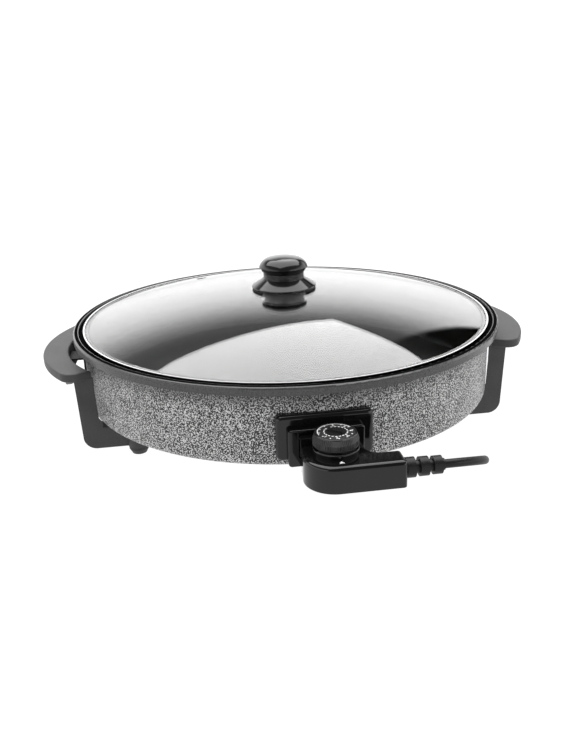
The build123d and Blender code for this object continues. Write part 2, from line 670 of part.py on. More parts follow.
def body_outline():
    """Outline of the control's body in plan, with its rounded corners."""
    with BuildSketch(mode=Mode.PRIVATE) as outline:
        with BuildLine():
            Polyline(
                (BODY_LEFT + BODY_WAIST, BACK_Y),
                (BODY_LEFT, FRONT_Y),
                (BODY_RIGHT, FRONT_Y),
                (BODY_RIGHT, ARM_Y),
                (NECK_RIGHT, ARM_Y),
                (NECK_RIGHT, BACK_Y),
                close=True,
            )
        make_face()
        corners = outline.vertices()
        fillet(corners.sort_by_distance((BODY_LEFT, FRONT_Y))[0], BODY_CORNER_R)
        fillet(outline.vertices().sort_by_distance((BODY_RIGHT, FRONT_Y))[0], 3)
        fillet(outline.vertices().sort_by_distance((BODY_RIGHT, ARM_Y))[0], 2)
        fillet(outline.vertices().sort_by_distance((NECK_RIGHT, ARM_Y))[0], 11)
    return outline.sketch


BODY = body_outline()
with BuildPart() as control_lower_shell:
    with BuildSketch(Plane.XY.offset(BODY_Z[0])):
        add(BODY)
    extrude(amount=SEAM_Z - BODY_Z[0])
    fillet(control_lower_shell.faces().sort_by(Axis.Z)[0].edges(), 0.8)
    with BuildSketch(Plane.XY.offset(BODY_Z[0] + SHELL_T)):
        offset(BODY, amount=-SHELL_T, kind=Kind.INTERSECTION)
    extrude(amount=SEAM_Z, mode=Mode.SUBTRACT)
    with BuildSketch(Plane.XY.offset(BODY_Z[0] + 0.5)):
        with Locations(*SHELL_SCREWS):
            Circle(4)
    extrude(amount=SEAM_Z - BODY_Z[0] - 0.5)
    with BuildSketch(Plane.XY.offset(BODY_Z[0])):
        with Locations(*SHELL_SCREWS):
            Circle(1.5 + FIT)
    extrude(amount=SEAM_Z, mode=Mode.SUBTRACT)
    with BuildSketch(Plane.XY.offset(BODY_Z[0])):
        with Locations(*SHELL_SCREWS):
            Circle(2.8 + FIT)
    extrude(amount=2.2, mode=Mode.SUBTRACT)
    with BuildSketch(Plane.YZ.offset(BODY_RIGHT - 10)):
        with Locations((RELIEF_AXIS_Y, SEAM_Z)):
            Circle(5.2)
    extrude(amount=12, mode=Mode.SUBTRACT)
control_lower_shell.part.label = "control_lower_shell"
export_step(control_lower_shell.part, "parts/control_lower_shell.step")

with BuildPart() as control_upper_shell:
    with BuildSketch(Plane.XY.offset(SEAM_Z)):
        add(BODY)
    extrude(amount=BODY_Z[1] - SEAM_Z)
    fillet(control_upper_shell.faces().sort_by(Axis.Z)[-1].edges(), 3.4)
    # nose and the raised neck behind it
    with BuildSketch(Plane.XZ.offset(-NOSE_Y)):
        with Locations((0, NOSE_MID)):
            RectangleRounded(NOSE_W, NOSE_H, 1.6)
    extrude(amount=BODY_BACK - NOSE_OUT)
    with BuildSketch(Plane.XZ.offset(-BACK_Y)):
        with Locations((0, (SEAM_Z + 1.6 + NOSE_Z[1]) / 2)):
            RectangleRounded(NOSE_W, NOSE_Z[1] - SEAM_Z - 1.6, 1.6)
    extrude(amount=7)
    # fixed collar under the dial, with a rounded rim and a narrower seat
    with BuildSketch(Plane((DIAL_X, DIAL_Y, 0), x_dir=(1, 0, 0), z_dir=(0, -1, 0))) as collar_section:
        with BuildLine():
            Polyline(
                (0, SEAM_Z + 2),
                (COLLAR_R, SEAM_Z + 2),
                (COLLAR_R, NOSE_Z[1] - COLLAR_DROP),
                (DIAL_TOP_R, NOSE_Z[1] - COLLAR_DROP),
                (DIAL_TOP_R, NOSE_Z[1]),
                (0, NOSE_Z[1]),
                close=True,
            )
        make_face()
        fillet(collar_section.vertices().sort_by_distance((COLLAR_R, NOSE_Z[1] - COLLAR_DROP))[0], 1)
    revolve(axis=Axis((DIAL_X, DIAL_Y, 0), (0, 0, 1)))
    # hollow for the switch
    with BuildSketch(Plane.XY.offset(SEAM_Z)) as switch_room:
        offset(BODY, amount=-SHELL_T, kind=Kind.INTERSECTION)
        with Locations((0, -(PAN_R + SWITCH_BACK - 0.5) + 50)):
            Rectangle(200, 100, mode=Mode.SUBTRACT)
    extrude(amount=BODY_Z[1] - SHELL_T - SEAM_Z, mode=Mode.SUBTRACT)
    with BuildSketch(Plane.XY.offset(SEAM_Z)):
        with Locations(SHELL_SCREWS[2]):
            Circle(4)
    extrude(amount=BODY_Z[1] - SEAM_Z - 1)
    with BuildSketch(Plane.XY.offset(SEAM_Z)):
        with Locations(*SHELL_SCREWS):
            Circle(1.5 + FIT / 2)
    extrude(amount=6, mode=Mode.SUBTRACT)
    with BuildSketch(Plane.XY.offset(SEAM_Z)):
        with Locations((DIAL_X, DIAL_Y)):
            Circle(SHAFT_R + SHAFT_FIT)
    extrude(amount=20, mode=Mode.SUBTRACT)
    with BuildSketch(Plane.XZ.offset(-NOSE_Y)):
        with Locations((-PIN_GAP / 2, PIN_Z), (PIN_GAP / 2, PIN_Z)):
            Circle(SLEEVE_R + FIT / 2)
        with Locations((0, PIN_Z)):
            Circle(PIN_R + FIT / 2)
    extrude(amount=SWITCH_BACK - NOSE_OUT, mode=Mode.SUBTRACT)
    with BuildSketch(Plane.YZ.offset(BODY_RIGHT - 10)):
        with Locations((RELIEF_AXIS_Y, SEAM_Z)):
            Circle(5.2)
    extrude(amount=12, mode=Mode.SUBTRACT)
control_upper_shell.part.label = "control_upper_shell"
export_step(control_upper_shell.part, "parts/control_upper_shell.step")

with BuildPart() as shell_screws:
    for layer, radius, height in (
        (BODY_Z[0] + 2.2, 1.5, SEAM_Z - BODY_Z[0] + 3),
        (BODY_Z[0] + 0.4, 2.8, 1.8),
    ):
        with BuildSketch(Plane.XY.offset(layer)):
            with Locations(*SHELL_SCREWS):
                Circle(radius)
        extrude(amount=height)
shell_screws.part.label = "shell_screws"
export_step(shell_screws.part, "parts/shell_screws.step")

with BuildPart() as contact_sleeves:
    with BuildSketch(Plane.XZ.offset(-NOSE_Y + 0.5)):
        for sx in (-1, 1):
            with Locations((sx * PIN_GAP / 2, PIN_Z)):
                Circle(SLEEVE_R)
                Circle(PIN_R + SLIP / 2, mode=Mode.SUBTRACT)
    extrude(amount=SLEEVE_END - NOSE_OUT - 0.5)
contact_sleeves.part.label = "contact_sleeves"
export_step(contact_sleeves.part, "parts/contact_sleeves.step")

with BuildPart() as probe_rod:
    with BuildSketch(Plane.XZ.offset(PAN_R + 0.5)):
        with Locations((0, PIN_Z)):
            Circle(PIN_R)
    extrude(amount=SWITCH_BACK - 0.5)
    fillet(probe_rod.edges().group_by(Axis.Y)[-1], 1.0)
probe_rod.part.label = "probe_rod"
export_step(probe_rod.part, "parts/probe_rod.step")

with BuildPart() as switch_block:
    with BuildSketch(Plane.XY.offset(BODY_Z[0] + SHELL_T)):
        with Locations((DIAL_X + 0.5, -(PAN_R + SWITCH_BACK + 14))):
            Rectangle(33, 28)
    extrude(amount=15.5)
    chamfer(switch_block.edges().filter_by(Axis.Z), 1.5)
switch_block.part.label = "switch_block"
export_step(switch_block.part, "parts/switch_block.step")

with BuildPart() as earth_strip:
    with BuildSketch(Plane.XZ.offset(-NOSE_Y + 0.5)):
        with Locations((0, NOSE_Z[0] - 0.3)):
            Rectangle(10, 0.6)
    extrude(amount=BODY_BACK - NOSE_OUT - 0.5)
earth_strip.part.label = "earth_strip"
export_step(earth_strip.part, "parts/earth_strip.step")

# Cord guard: a flange inside the shells, a neck through their wall, and three ribs.
RELIEF_END = BODY_RIGHT + RELIEF_L
RIB_R = (7.9, 7.5, 7.1)
RIB_PITCH = 10.5
with BuildPart() as strain_relief:
    with BuildSketch(Plane.XY.offset(SEAM_Z)):
        with BuildLine():
            Polyline(
                (BODY_RIGHT - 9.9, RELIEF_AXIS_Y),
                (BODY_RIGHT - 9.9, RELIEF_AXIS_Y + 5.1),
                (BODY_RIGHT, RELIEF_AXIS_Y + 5.1),
                (RELIEF_END, RELIEF_AXIS_Y + 4.6),
                (RELIEF_END, RELIEF_AXIS_Y),
                close=True,
            )
        make_face()
    revolve(axis=Axis((0, RELIEF_AXIS_Y, SEAM_Z), (1, 0, 0)))
    for index, radius in enumerate(RIB_R):
        with BuildSketch(Plane.YZ.offset(BODY_RIGHT + 0.8 + index * RIB_PITCH)):
            with Locations((RELIEF_AXIS_Y, SEAM_Z)):
                Circle(radius)
        extrude(amount=RIB_PITCH - 3.6)
strain_relief.part.label = "strain_relief"
export_step(strain_relief.part, "parts/strain_relief.step")

# ---------------------------------------------------------------- dial
DIAL_Z = NOSE_Z[1] + 0.2
FACE_R = DIAL_TOP_R - 1.2
HUB_R = 7.6
KNURLS = 60
with BuildPart() as dial_knob:
    with BuildSketch(Plane((DIAL_X, DIAL_Y, 0), x_dir=(1, 0, 0), z_dir=(0, -1, 0))) as dial_section:
        with BuildLine():
            Polyline(
                (0, DIAL_Z),
                (DIAL_R, DIAL_Z),
                (DIAL_R, DIAL_Z + KNURL_H),
                (DIAL_TOP_R, DIAL_Z + DIAL_H),
                (0, DIAL_Z + DIAL_H),
                close=True,
            )
        make_face()
        fillet(dial_section.vertices().sort_by_distance((DIAL_TOP_R, DIAL_Z + DIAL_H))[0], 0.6)
    revolve(axis=Axis((DIAL_X, DIAL_Y, 0), (0, 0, 1)))
    with BuildSketch(Plane.XY.offset(DIAL_Z + 0.8)):
        with Locations((DIAL_X, DIAL_Y)):
            with PolarLocations(DIAL_R + 0.2, KNURLS):
                Circle(0.45)
    extrude(amount=KNURL_H - 0.8, mode=Mode.SUBTRACT)
    with BuildSketch(Plane.XY.offset(DIAL_Z + DIAL_H - 0.7)):
        with Locations((DIAL_X, DIAL_Y)):
            Circle(FACE_R + FIT)
            Circle(HUB_R, mode=Mode.SUBTRACT)
    extrude(amount=1, mode=Mode.SUBTRACT)
    with BuildSketch(Plane.XY.offset(DIAL_Z + DIAL_H - 1)):
        with Locations(Location((DIAL_X, DIAL_Y), -38)):
            SlotOverall(2 * HUB_R - 1, 3.8)
    extrude(amount=2.6)
    with BuildSketch(Plane.XY.offset(DIAL_Z)):
        with Locations((DIAL_X, DIAL_Y)):
            Circle(SHAFT_R + FIT / 2)
    extrude(amount=DIAL_H - 2.5, mode=Mode.SUBTRACT)
dial_knob.part.label = "dial_knob"
export_step(dial_knob.part, "parts/dial_knob.step")

with BuildPart() as dial_face:
    with BuildSketch(Plane.XY.offset(DIAL_Z + DIAL_H - 0.7)):
        with Locations((DIAL_X, DIAL_Y)):
            Circle(FACE_R)
            Circle(HUB_R + FIT, mode=Mode.SUBTRACT)
    extrude(amount=0.6)
dial_face.part.label = "dial_face"
export_step(dial_face.part, "parts/dial_face.step")

SHAFT_LOW = BODY_Z[0] + SHELL_T + 15.5 + SLIP
with BuildPart() as dial_shaft:
    with BuildSketch(Plane.XY.offset(SHAFT_LOW)):
        with Locations((DIAL_X, DIAL_Y)):
            Circle(SHAFT_R)
    extrude(amount=DIAL_Z + DIAL_H - 2.6 - SHAFT_LOW)
dial_shaft.part.label = "dial_shaft"
export_step(dial_shaft.part, "parts/dial_shaft.step")

# ---------------------------------------------------------------- lid
INNER_TOP = DOME_TOP - GLASS_T
HOLE_R = KNOB_SCREW_R + 2.2
VENT_D = sqrt(VENT_AT[0] ** 2 + VENT_AT[1] ** 2)
VENT_Z = dome_z(VENT_D)
VENT_NORMAL = (VENT_AT[0], VENT_AT[1], VENT_Z - (DOME_TOP - SPHERE_R))
VENT_PLANE = Plane((VENT_AT[0], VENT_AT[1], VENT_Z), z_dir=VENT_NORMAL)
with BuildPart() as lid_glass:
    with BuildSketch(Plane.XZ):
        with BuildLine():
            outer = ThreePointArc(
                (HOLE_R, dome_z(HOLE_R)),
                (DOME_R / 2, dome_z(DOME_R / 2)),
                (DOME_R, dome_z(DOME_R)),
            )
            inner = ThreePointArc(
                (HOLE_R, dome_z(HOLE_R) - GLASS_T),
                (DOME_R / 2, dome_z(DOME_R / 2) - GLASS_T),
                (DOME_R, dome_z(DOME_R) - GLASS_T),
            )
            Polyline(
                (DOME_R, dome_z(DOME_R)),
                (GLASS_R, GLASS_Z + GLASS_T),
                (GLASS_R, GLASS_Z),
                (DOME_R, dome_z(DOME_R) - GLASS_T),
            )
            Line((HOLE_R, dome_z(HOLE_R)), (HOLE_R, dome_z(HOLE_R) - GLASS_T))
        make_face()
    revolve(axis=Axis.Z)
    with BuildSketch(VENT_PLANE.offset(-10)):
        Circle(VENT_R + FIT)
    extrude(amount=20, mode=Mode.SUBTRACT)
lid_glass.part.label = "lid_glass"
export_step(lid_glass.part, "parts/lid_glass.step")

BAND_IN = LID_R - BAND_FLANGE
with BuildPart() as lid_band:
    with BuildSketch(Plane.XZ):
        with BuildLine():
            Polyline(
                (BAND_IN, LEDGE_Z),
                (LID_R, LEDGE_Z),
                (LID_R, GLASS_Z + GLASS_T + BAND_T),
                (BAND_IN, GLASS_Z + GLASS_T + BAND_T),
                (BAND_IN, GLASS_Z + GLASS_T),
                (LID_R - BAND_T, GLASS_Z + GLASS_T),
                (LID_R - BAND_T, GLASS_Z),
                (BAND_IN, GLASS_Z),
                close=True,
            )
        make_face()
    revolve(axis=Axis.Z)
lid_band.part.label = "lid_band"
export_step(lid_band.part, "parts/lid_band.step")

# The eyelet's two flanges are dished to the glass by a small gap.
with BuildPart() as vent_eyelet:
    with BuildSketch(VENT_PLANE.offset(FIT)):
        Circle(VENT_R + 1.9)
    extrude(amount=0.7)
    fillet(vent_eyelet.edges().filter_by(GeomType.CIRCLE), 0.3)
    with BuildSketch(VENT_PLANE.offset(-GLASS_T - 0.8)):
        Circle(VENT_R)
    extrude(amount=GLASS_T + 1.2)
    with BuildSketch(VENT_PLANE.offset(-GLASS_T - 0.8)):
        Circle(VENT_R + 1.6)
    extrude(amount=0.6)
    with BuildSketch(VENT_PLANE.offset(-GLASS_T - 2)):
        Circle(VENT_R - 1)
    extrude(amount=GLASS_T + 6, mode=Mode.SUBTRACT)
vent_eyelet.part.label = "vent_eyelet"
export_step(vent_eyelet.part, "parts/vent_eyelet.step")

# ---------------------------------------------------------------- lid knob
SKIRT_Z = DOME_TOP + 0.4
KNOB_Z = SKIRT_Z + SKIRT_H
NECK_R = KNOB_R - 3.9
with BuildPart() as knob_gasket:
    with BuildSketch(Plane.XZ):
        with BuildLine():
            Polyline(
                (SKIRT_R - 8, SKIRT_Z),
                (SKIRT_R - 1, SKIRT_Z),
                (SKIRT_R - 1, dome_z(SKIRT_R - 1) + FIT / 2),
                (SKIRT_R - 8, dome_z(SKIRT_R - 8) + FIT / 2),
                close=True,
            )
        make_face()
    revolve(axis=Axis.Z)
knob_gasket.part.label = "knob_gasket"
export_step(knob_gasket.part, "parts/knob_gasket.step")

with BuildPart() as knob_skirt:
    with BuildSketch(Plane.XZ) as skirt_section:
        with BuildLine():
            Polyline(
                (KNOB_SCREW_R + FIT, KNOB_Z),
                (KNOB_SCREW_R + FIT, SKIRT_Z),
                (SKIRT_R - 0.8, SKIRT_Z),
                (SKIRT_R, SKIRT_Z + 1.2),
                (NECK_R + 0.5, KNOB_Z),
                close=True,
            )
        make_face()
        fillet(skirt_section.vertices().sort_by(Axis.X)[-1:], 1.3)
    revolve(axis=Axis.Z)
knob_skirt.part.label = "knob_skirt"
export_step(knob_skirt.part, "parts/knob_skirt.step")

with BuildPart() as knob_cap:
    with BuildSketch(Plane.XZ) as cap_section:
        with BuildLine():
            Polyline(
                (KNOB_R, KNOB_Z + KNOB_H - 10.4),
                (NECK_R, KNOB_Z + KNOB_H - 15.9),
                (NECK_R, KNOB_Z),
                (0, KNOB_Z),
                (0, KNOB_Z + KNOB_H),
            )
            ThreePointArc(
                (0, KNOB_Z + KNOB_H),
                (KNOB_R - 16.3, KNOB_Z + KNOB_H - 0.48),
                (KNOB_R - 8.7, KNOB_Z + KNOB_H - 1.9),
            )
            ThreePointArc(
                (KNOB_R - 8.7, KNOB_Z + KNOB_H - 1.9),
                (KNOB_R - 3.15, KNOB_Z + KNOB_H - 5.05),
                (KNOB_R, KNOB_Z + KNOB_H - 10.4),
            )
        make_face()
        fillet(cap_section.vertices().sort_by(Axis.X)[-1:], 0.8)
    revolve(axis=Axis.Z)
    with BuildSketch(Plane.XY.offset(KNOB_Z)):
        Circle(KNOB_SCREW_R + FIT / 2)
    extrude(amount=14, mode=Mode.SUBTRACT)
knob_cap.part.label = "knob_cap"
export_step(knob_cap.part, "parts/knob_cap.step")

BASE_TOP = INNER_TOP - 0.9
with BuildPart() as base_gasket:
    with BuildSketch(Plane.XZ):
        with BuildLine():
            Polyline(
                (11, BASE_TOP),
                (19, BASE_TOP),
                (19, dome_z(19) - GLASS_T - 1.5 * FIT),
                (11, dome_z(11) - GLASS_T - 1.5 * FIT),
                close=True,
            )
        make_face()
    revolve(axis=Axis.Z)
base_gasket.part.label = "base_gasket"
export_step(base_gasket.part, "parts/base_gasket.step")

with BuildPart() as knob_base:
    with BuildSketch(Plane.XZ) as base_section:
        with BuildLine():
            Polyline(
                (KNOB_SCREW_R + FIT, BASE_TOP),
                (KNOB_BASE_R - 2.5, BASE_TOP),
                (KNOB_BASE_R - 2.5, BASE_TOP - 3.5),
                (KNOB_BASE_R, BASE_TOP - KNOB_BASE_H + 3),
                (KNOB_BASE_R - 1.4, BASE_TOP - KNOB_BASE_H),
                (KNOB_BASE_R - 5, BASE_TOP - KNOB_BASE_H),
                (KNOB_BASE_R - 5, BASE_TOP - 3.5),
                (KNOB_SCREW_R + FIT, BASE_TOP - 3.5),
                close=True,
            )
        make_face()
    revolve(axis=Axis.Z)
knob_base.part.label = "knob_base"
export_step(knob_base.part, "parts/knob_base.step")

with BuildPart() as knob_screw:
    with BuildSketch(Plane.XY.offset(BASE_TOP - 3.5)):
        Circle(KNOB_SCREW_R)
    extrude(amount=KNOB_Z + 12 - BASE_TOP + 3.5)
    with BuildSketch(Plane.XY.offset(BASE_TOP - 6.5)):
        Circle(4.2)
    extrude(amount=3)
    fillet(knob_screw.edges().group_by(Axis.Z)[0], 1)
knob_screw.part.label = "knob_screw"
export_step(knob_screw.part, "parts/knob_screw.step")

# ---------------------------------------------------------------- cord
# The route leaves the guard straight, bends down and back beneath the body in one wide turn, runs
# under the pan between the feet and ends tangent to the coil behind it.
CORD_POINTS = [
    (RELIEF_END, RELIEF_AXIS_Y, SEAM_Z),
    (RELIEF_END + 14.5, RELIEF_AXIS_Y, SEAM_Z),
    (RELIEF_END + 31.7, RELIEF_AXIS_Y + 7, 46.7),
    (RELIEF_END + 42.6, RELIEF_AXIS_Y + 20.8, 39.4),
    (RELIEF_END + 43.4, RELIEF_AXIS_Y + 41.9, 28.1),
    (RELIEF_END + 32.4, RELIEF_AXIS_Y + 62.7, 17.0),
    (RELIEF_END + 12.5, RELIEF_AXIS_Y + 77.4, 9.1),
    (56.0, -162.4, 3.7),
    (30.0, -150.0, 3.7),
    (18.0, -118.0, 3.7),
    (24.0, -66.0, 3.7),
    (44.0, -8.0, 3.7),
    (62.0, 52.0, 3.7),
    (76.0, 116.0, 3.7),
    (85.0, COIL_AT[1] - 78, 3.7),
    (84.0, COIL_AT[1] - 20, 3.7),
]
points = [Vector(*p) for p in CORD_POINTS]
radii = []
for before, here, after in zip(points, points[1:], points[2:]):
    turn = radians((here - before).get_angle(after - here))
    shorter = min((here - before).length, (after - here).length)
    radii.append(0.45 * shorter / tan(turn / 2))
print("cord bend radii:", [round(r) for r in radii])
with BuildPart() as cord_tube:
    with BuildLine() as cord_path:
        FilletPolyline(*CORD_POINTS, radius=radii)
    with BuildSketch(Plane(cord_path.line @ 0, z_dir=cord_path.line % 0)):
        Circle(CORD_R)
    sweep()
tube_length = cord_path.wires()[0].length
print("cord tube length:", round(tube_length, 1))
print("volume share:", round(cord_tube.part.volume / (tube_length * pi * CORD_R**2), 4))
cord_tube.part.label = "cord_tube"
export_step(cord_tube.part, "parts/cord_tube.step")

with BuildPart() as cord_coil:
    with BuildSketch(Plane.XY.offset(0.1)):
        with Locations(COIL_AT):
            Circle(COIL_R[1])
            Circle(COIL_R[0], mode=Mode.SUBTRACT)
    extrude(amount=COIL_H)
    fillet(cord_coil.edges().filter_by(GeomType.CIRCLE), 3)
cord_coil.part.label = "cord_coil"
export_step(cord_coil.part, "parts/cord_coil.step")

# ---------------------------------------------------------------- mains plug, lying on the table
PLUG_Y = COIL_AT[1] + (COIL_R[0] + COIL_R[1]) / 2
PLUG_TIP = COIL_AT[0] - 22.0
PLUG_BACK = PLUG_TIP - 34.0
PLUG_FACE = PLUG_BACK - 34.0
PLUG_PIN_R = 2.4
PLUG_PIN_GAP = 19.0
with BuildPart() as mains_plug:
    with BuildSketch(Plane.XY.offset(PLUG_Z)):
        with BuildLine():
            Polyline(
                (PLUG_TIP, PLUG_Y),
                (PLUG_TIP, PLUG_Y + 5),
                (PLUG_BACK + 8, PLUG_Y + 7.5),
                (PLUG_BACK, PLUG_Y + 13),
                (PLUG_BACK - 8, PLUG_Y + 16),
                (PLUG_FACE + 12, PLUG_Y + 16.5),
                (PLUG_FACE + 12, PLUG_Y + PLUG_R),
                (PLUG_FACE, PLUG_Y + PLUG_R),
                (PLUG_FACE, PLUG_Y),
                close=True,
            )
        make_face()
    revolve(axis=Axis((0, PLUG_Y, PLUG_Z), (1, 0, 0)))
    for sz in (-1, 1):
        with BuildSketch(Plane.YZ.offset(PLUG_FACE)):
            with Locations((PLUG_Y, PLUG_Z + sz * (PLUG_R - 1))):
                Rectangle(8, 4)
        extrude(amount=10, mode=Mode.SUBTRACT)
mains_plug.part.label = "mains_plug"
export_step(mains_plug.part, "parts/mains_plug.step")

with BuildPart() as plug_pins:
    with BuildSketch(Plane.YZ.offset(PLUG_FACE - 19)):
        with Locations((PLUG_Y - PLUG_PIN_GAP / 2, PLUG_Z), (PLUG_Y + PLUG_PIN_GAP / 2, PLUG_Z)):
            Circle(PLUG_PIN_R)
    extrude(amount=19)
    fillet(plug_pins.edges().group_by(Axis.X)[0], 1.6)
plug_pins.part.label = "plug_pins"
export_step(plug_pins.part, "parts/plug_pins.step")

with BuildPart() as plug_earth_contacts:
    for sz in (-1, 1):
        with BuildSketch(Plane.YZ.offset(PLUG_FACE + 0.5)):
            with Locations((PLUG_Y, PLUG_Z + sz * (PLUG_R - 2.5))):
                Rectangle(4, 1)
        extrude(amount=9.5)
plug_earth_contacts.part.label = "plug_earth_contacts"
export_step(plug_earth_contacts.part, "parts/plug_earth_contacts.step")
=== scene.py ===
# %% [markdown]
# # A round electric skillet
# A cast aluminium pan stands on four moulded legs. It has a domed glass lid that lifts off, a grip
# on each side and a control that plugs into its front. The finished shapes come in as a frame of
# named pieces. This file lays the cord, cuts the pieces that repeat, gives every surface its finish
# and lights the whole on a pale table. Lengths are in metres: +X is the right-hand grip, -Y is the
# front and the feet stand on z = 0.

# %% Opening the frame
import json
from math import cos, pi, radians, sin

import bmesh
import bpy
import numpy as np
from mathutils import Matrix, Vector


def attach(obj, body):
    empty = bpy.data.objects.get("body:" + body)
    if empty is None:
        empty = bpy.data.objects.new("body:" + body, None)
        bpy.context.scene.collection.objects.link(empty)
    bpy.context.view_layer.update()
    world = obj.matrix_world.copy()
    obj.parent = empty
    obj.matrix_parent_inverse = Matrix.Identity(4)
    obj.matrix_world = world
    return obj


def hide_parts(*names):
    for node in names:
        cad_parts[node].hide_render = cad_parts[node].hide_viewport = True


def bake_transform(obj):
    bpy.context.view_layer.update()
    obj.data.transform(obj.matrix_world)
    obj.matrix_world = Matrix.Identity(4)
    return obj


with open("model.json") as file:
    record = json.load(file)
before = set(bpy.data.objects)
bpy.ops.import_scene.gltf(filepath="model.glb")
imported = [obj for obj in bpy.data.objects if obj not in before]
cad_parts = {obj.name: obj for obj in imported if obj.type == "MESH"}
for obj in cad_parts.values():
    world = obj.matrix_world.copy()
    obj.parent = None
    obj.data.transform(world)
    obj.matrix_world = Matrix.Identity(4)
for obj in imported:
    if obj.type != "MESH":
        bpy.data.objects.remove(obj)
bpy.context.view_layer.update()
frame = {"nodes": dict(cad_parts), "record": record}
nodes = frame["nodes"]
scene = bpy.context.scene
print(len(nodes), "pieces in the frame")

# %% [markdown]
# ## A short way to write finishes
# A finish is a small graph of nodes. Adding each node by hand hides the idea behind it, so a Wire
# stands for one output socket and lets a sum or a product be written as Python. A Finish adds any
# other node in one call: its type, its settings, then what its sockets hold.


# %% Wires and finishes
class Wire:
    """One output socket. An expression on wires adds the Math nodes for it."""

    def __init__(self, finish, socket):
        self.finish = finish
        self.socket = socket

    def math(self, operation, *values):
        sockets = dict(enumerate(values))
        return self.finish.add("ShaderNodeMath", {"operation": operation}, sockets)

    def __add__(self, other):
        return self.math("ADD", self, other)

    def __sub__(self, other):
        return self.math("SUBTRACT", self, other)

    def __rsub__(self, other):
        return self.math("SUBTRACT", other, self)

    def __mul__(self, other):
        return self.math("MULTIPLY", self, other)

    def __truediv__(self, other):
        return self.math("DIVIDE", self, other)

    def __pow__(self, other):
        return self.math("POWER", self, other)

    def __gt__(self, other):
        return self.math("GREATER_THAN", self, other)

    def __lt__(self, other):
        return self.math("LESS_THAN", self, other)

    __radd__ = __add__
    __rmul__ = __mul__


class Graph:
    """A graph of nodes, with one call for each node."""

    def __init__(self, tree):
        self.tree = tree
        self.tree.nodes.clear()

    def add(self, kind, settings=None, sockets=None, output=0):
        node = self.tree.nodes.new(kind)
        for name, value in (settings or {}).items():
            if name == "stops":
                self.fill_ramp(node.color_ramp, value)
            else:
                setattr(node, name, value)
        for name, value in (sockets or {}).items():
            if isinstance(value, Wire):
                self.tree.links.new(value.socket, node.inputs[name])
            else:
                node.inputs[name].default_value = value
        return Wire(self, node.outputs[output] if node.outputs else None)

    @staticmethod
    def fill_ramp(ramp, stops):
        while len(ramp.elements) > 1:
            ramp.elements.remove(ramp.elements[-1])
        for index, (position, value) in enumerate(stops):
            step = ramp.elements[0] if index == 0 else ramp.elements.new(position)
            step.position = position
            step.color = (value, value, value, 1)


class Finish(Graph):
    """The graph of a material or of the room's air."""

    def __init__(self, owner):
        owner.use_nodes = True
        self.owner = owner
        super().__init__(owner.node_tree)

    def place(self):
        """Object coordinates, and their x, y and z as three wires."""
        where = self.add("ShaderNodeTexCoord", output=3)
        apart = self.add("ShaderNodeSeparateXYZ", sockets={0: where})
        outputs = apart.socket.node.outputs
        return where, Wire(self, outputs[0]), Wire(self, outputs[1]), Wire(self, outputs[2])

    def noise(self, where, scale, detail=2.0, roughness=0.5, **settings):
        sockets = {"Vector": where, "Scale": scale, "Detail": detail, "Roughness": roughness}
        return self.add("ShaderNodeTexNoise", settings, sockets)

    def ramp(self, value, *stops):
        return self.add("ShaderNodeValToRGB", {"stops": stops}, {0: value})

    def smooth(self, value, low, high):
        """0 below low, 1 above high and an easy curve between them."""
        sockets = {0: value, 1: low, 2: high, 3: 0.0, 4: 1.0}
        return self.add("ShaderNodeMapRange", {"interpolation_type": "SMOOTHSTEP"}, sockets)

    def blend(self, factor, first, second):
        """A mix of two colours."""
        return self.add("ShaderNodeMix", {"data_type": "RGBA"}, {0: factor, 6: first, 7: second}, 2)

    def bump(self, height, distance, strength=1.0):
        return self.add("ShaderNodeBump", None,
                        {"Height": height, "Distance": distance, "Strength": strength})

    def surface(self, **sockets):
        """A Principled shader on the material's output. Underscores in names stand for spaces."""
        named = {name.replace("_", " "): value for name, value in sockets.items()}
        shader = self.add("ShaderNodeBsdfPrincipled", None, named)
        self.add("ShaderNodeOutputMaterial", None, {"Surface": shader})
        return self.owner


def new_finish(name):
    return Finish(bpy.data.materials.new(name))


def grey(value):
    return (value, value, value, 1)


print("wires and finishes ready")

# %% [markdown]
# ## Where the camera stands
# The camera looks down at the front from a little to the left, and leans by about two degrees. Its
# three axes are written out as unit vectors, which says exactly that and nothing else. A lens of
# 38 mm on a 36 mm sensor gives the long side of an upright frame its view.

# %% The camera
CAMERA_AT = Vector((-0.1096, -0.7699, 0.3279))
CAMERA_RIGHT = Vector((0.98861, -0.14700, -0.03232))
CAMERA_UP = Vector((0.08178, 0.34429, 0.93529))

camera_data = bpy.data.cameras.new("front_view")
camera_data.lens = 38.1
camera_data.sensor_width = 36
camera_data.clip_start = 0.02
camera = bpy.data.objects.new("front_view", camera_data)
axes = Matrix((CAMERA_RIGHT, CAMERA_UP, CAMERA_RIGHT.cross(CAMERA_UP))).transposed()
camera.matrix_world = Matrix.Translation(CAMERA_AT) @ axes.to_4x4()
scene.collection.objects.link(camera)
scene.camera = camera
print("camera", [round(value, 3) for value in CAMERA_AT])

# %% [markdown]
# ## The cord's route
# A mains lead leaves its guard straight, bends down under its weight and lies on the table. Here it
# passes back under the pan and is wound into a flat coil behind it, with the plug beside the coil.
# A NURBS curve is the right tool: it runs near its points rather than through them, so it never
# kinks. Two turns lie side by side on the table and the last part lies in the groove between them.
# The coil's points stand two percent too far out, because the curve runs that much inside them.

# %% Route and coil
CORD_RADIUS = 0.0035
COIL_CENTRE = Vector((0.042, 0.262, 0.0))
OUTER_TURN = 0.042
INNER_TURN = 0.035
POINTS_OUTSIDE = 1.02
TABLE_LAYER = 0.0037
TOP_LAYER = 0.0100
PLUG_AXIS_Z = 0.0185


def eased(value, low, high):
    """0 at low, 1 at high, level at both ends."""
    share = min(max((value - low) / (high - low), 0.0), 1.0)
    return share * share * (3 - 2 * share)


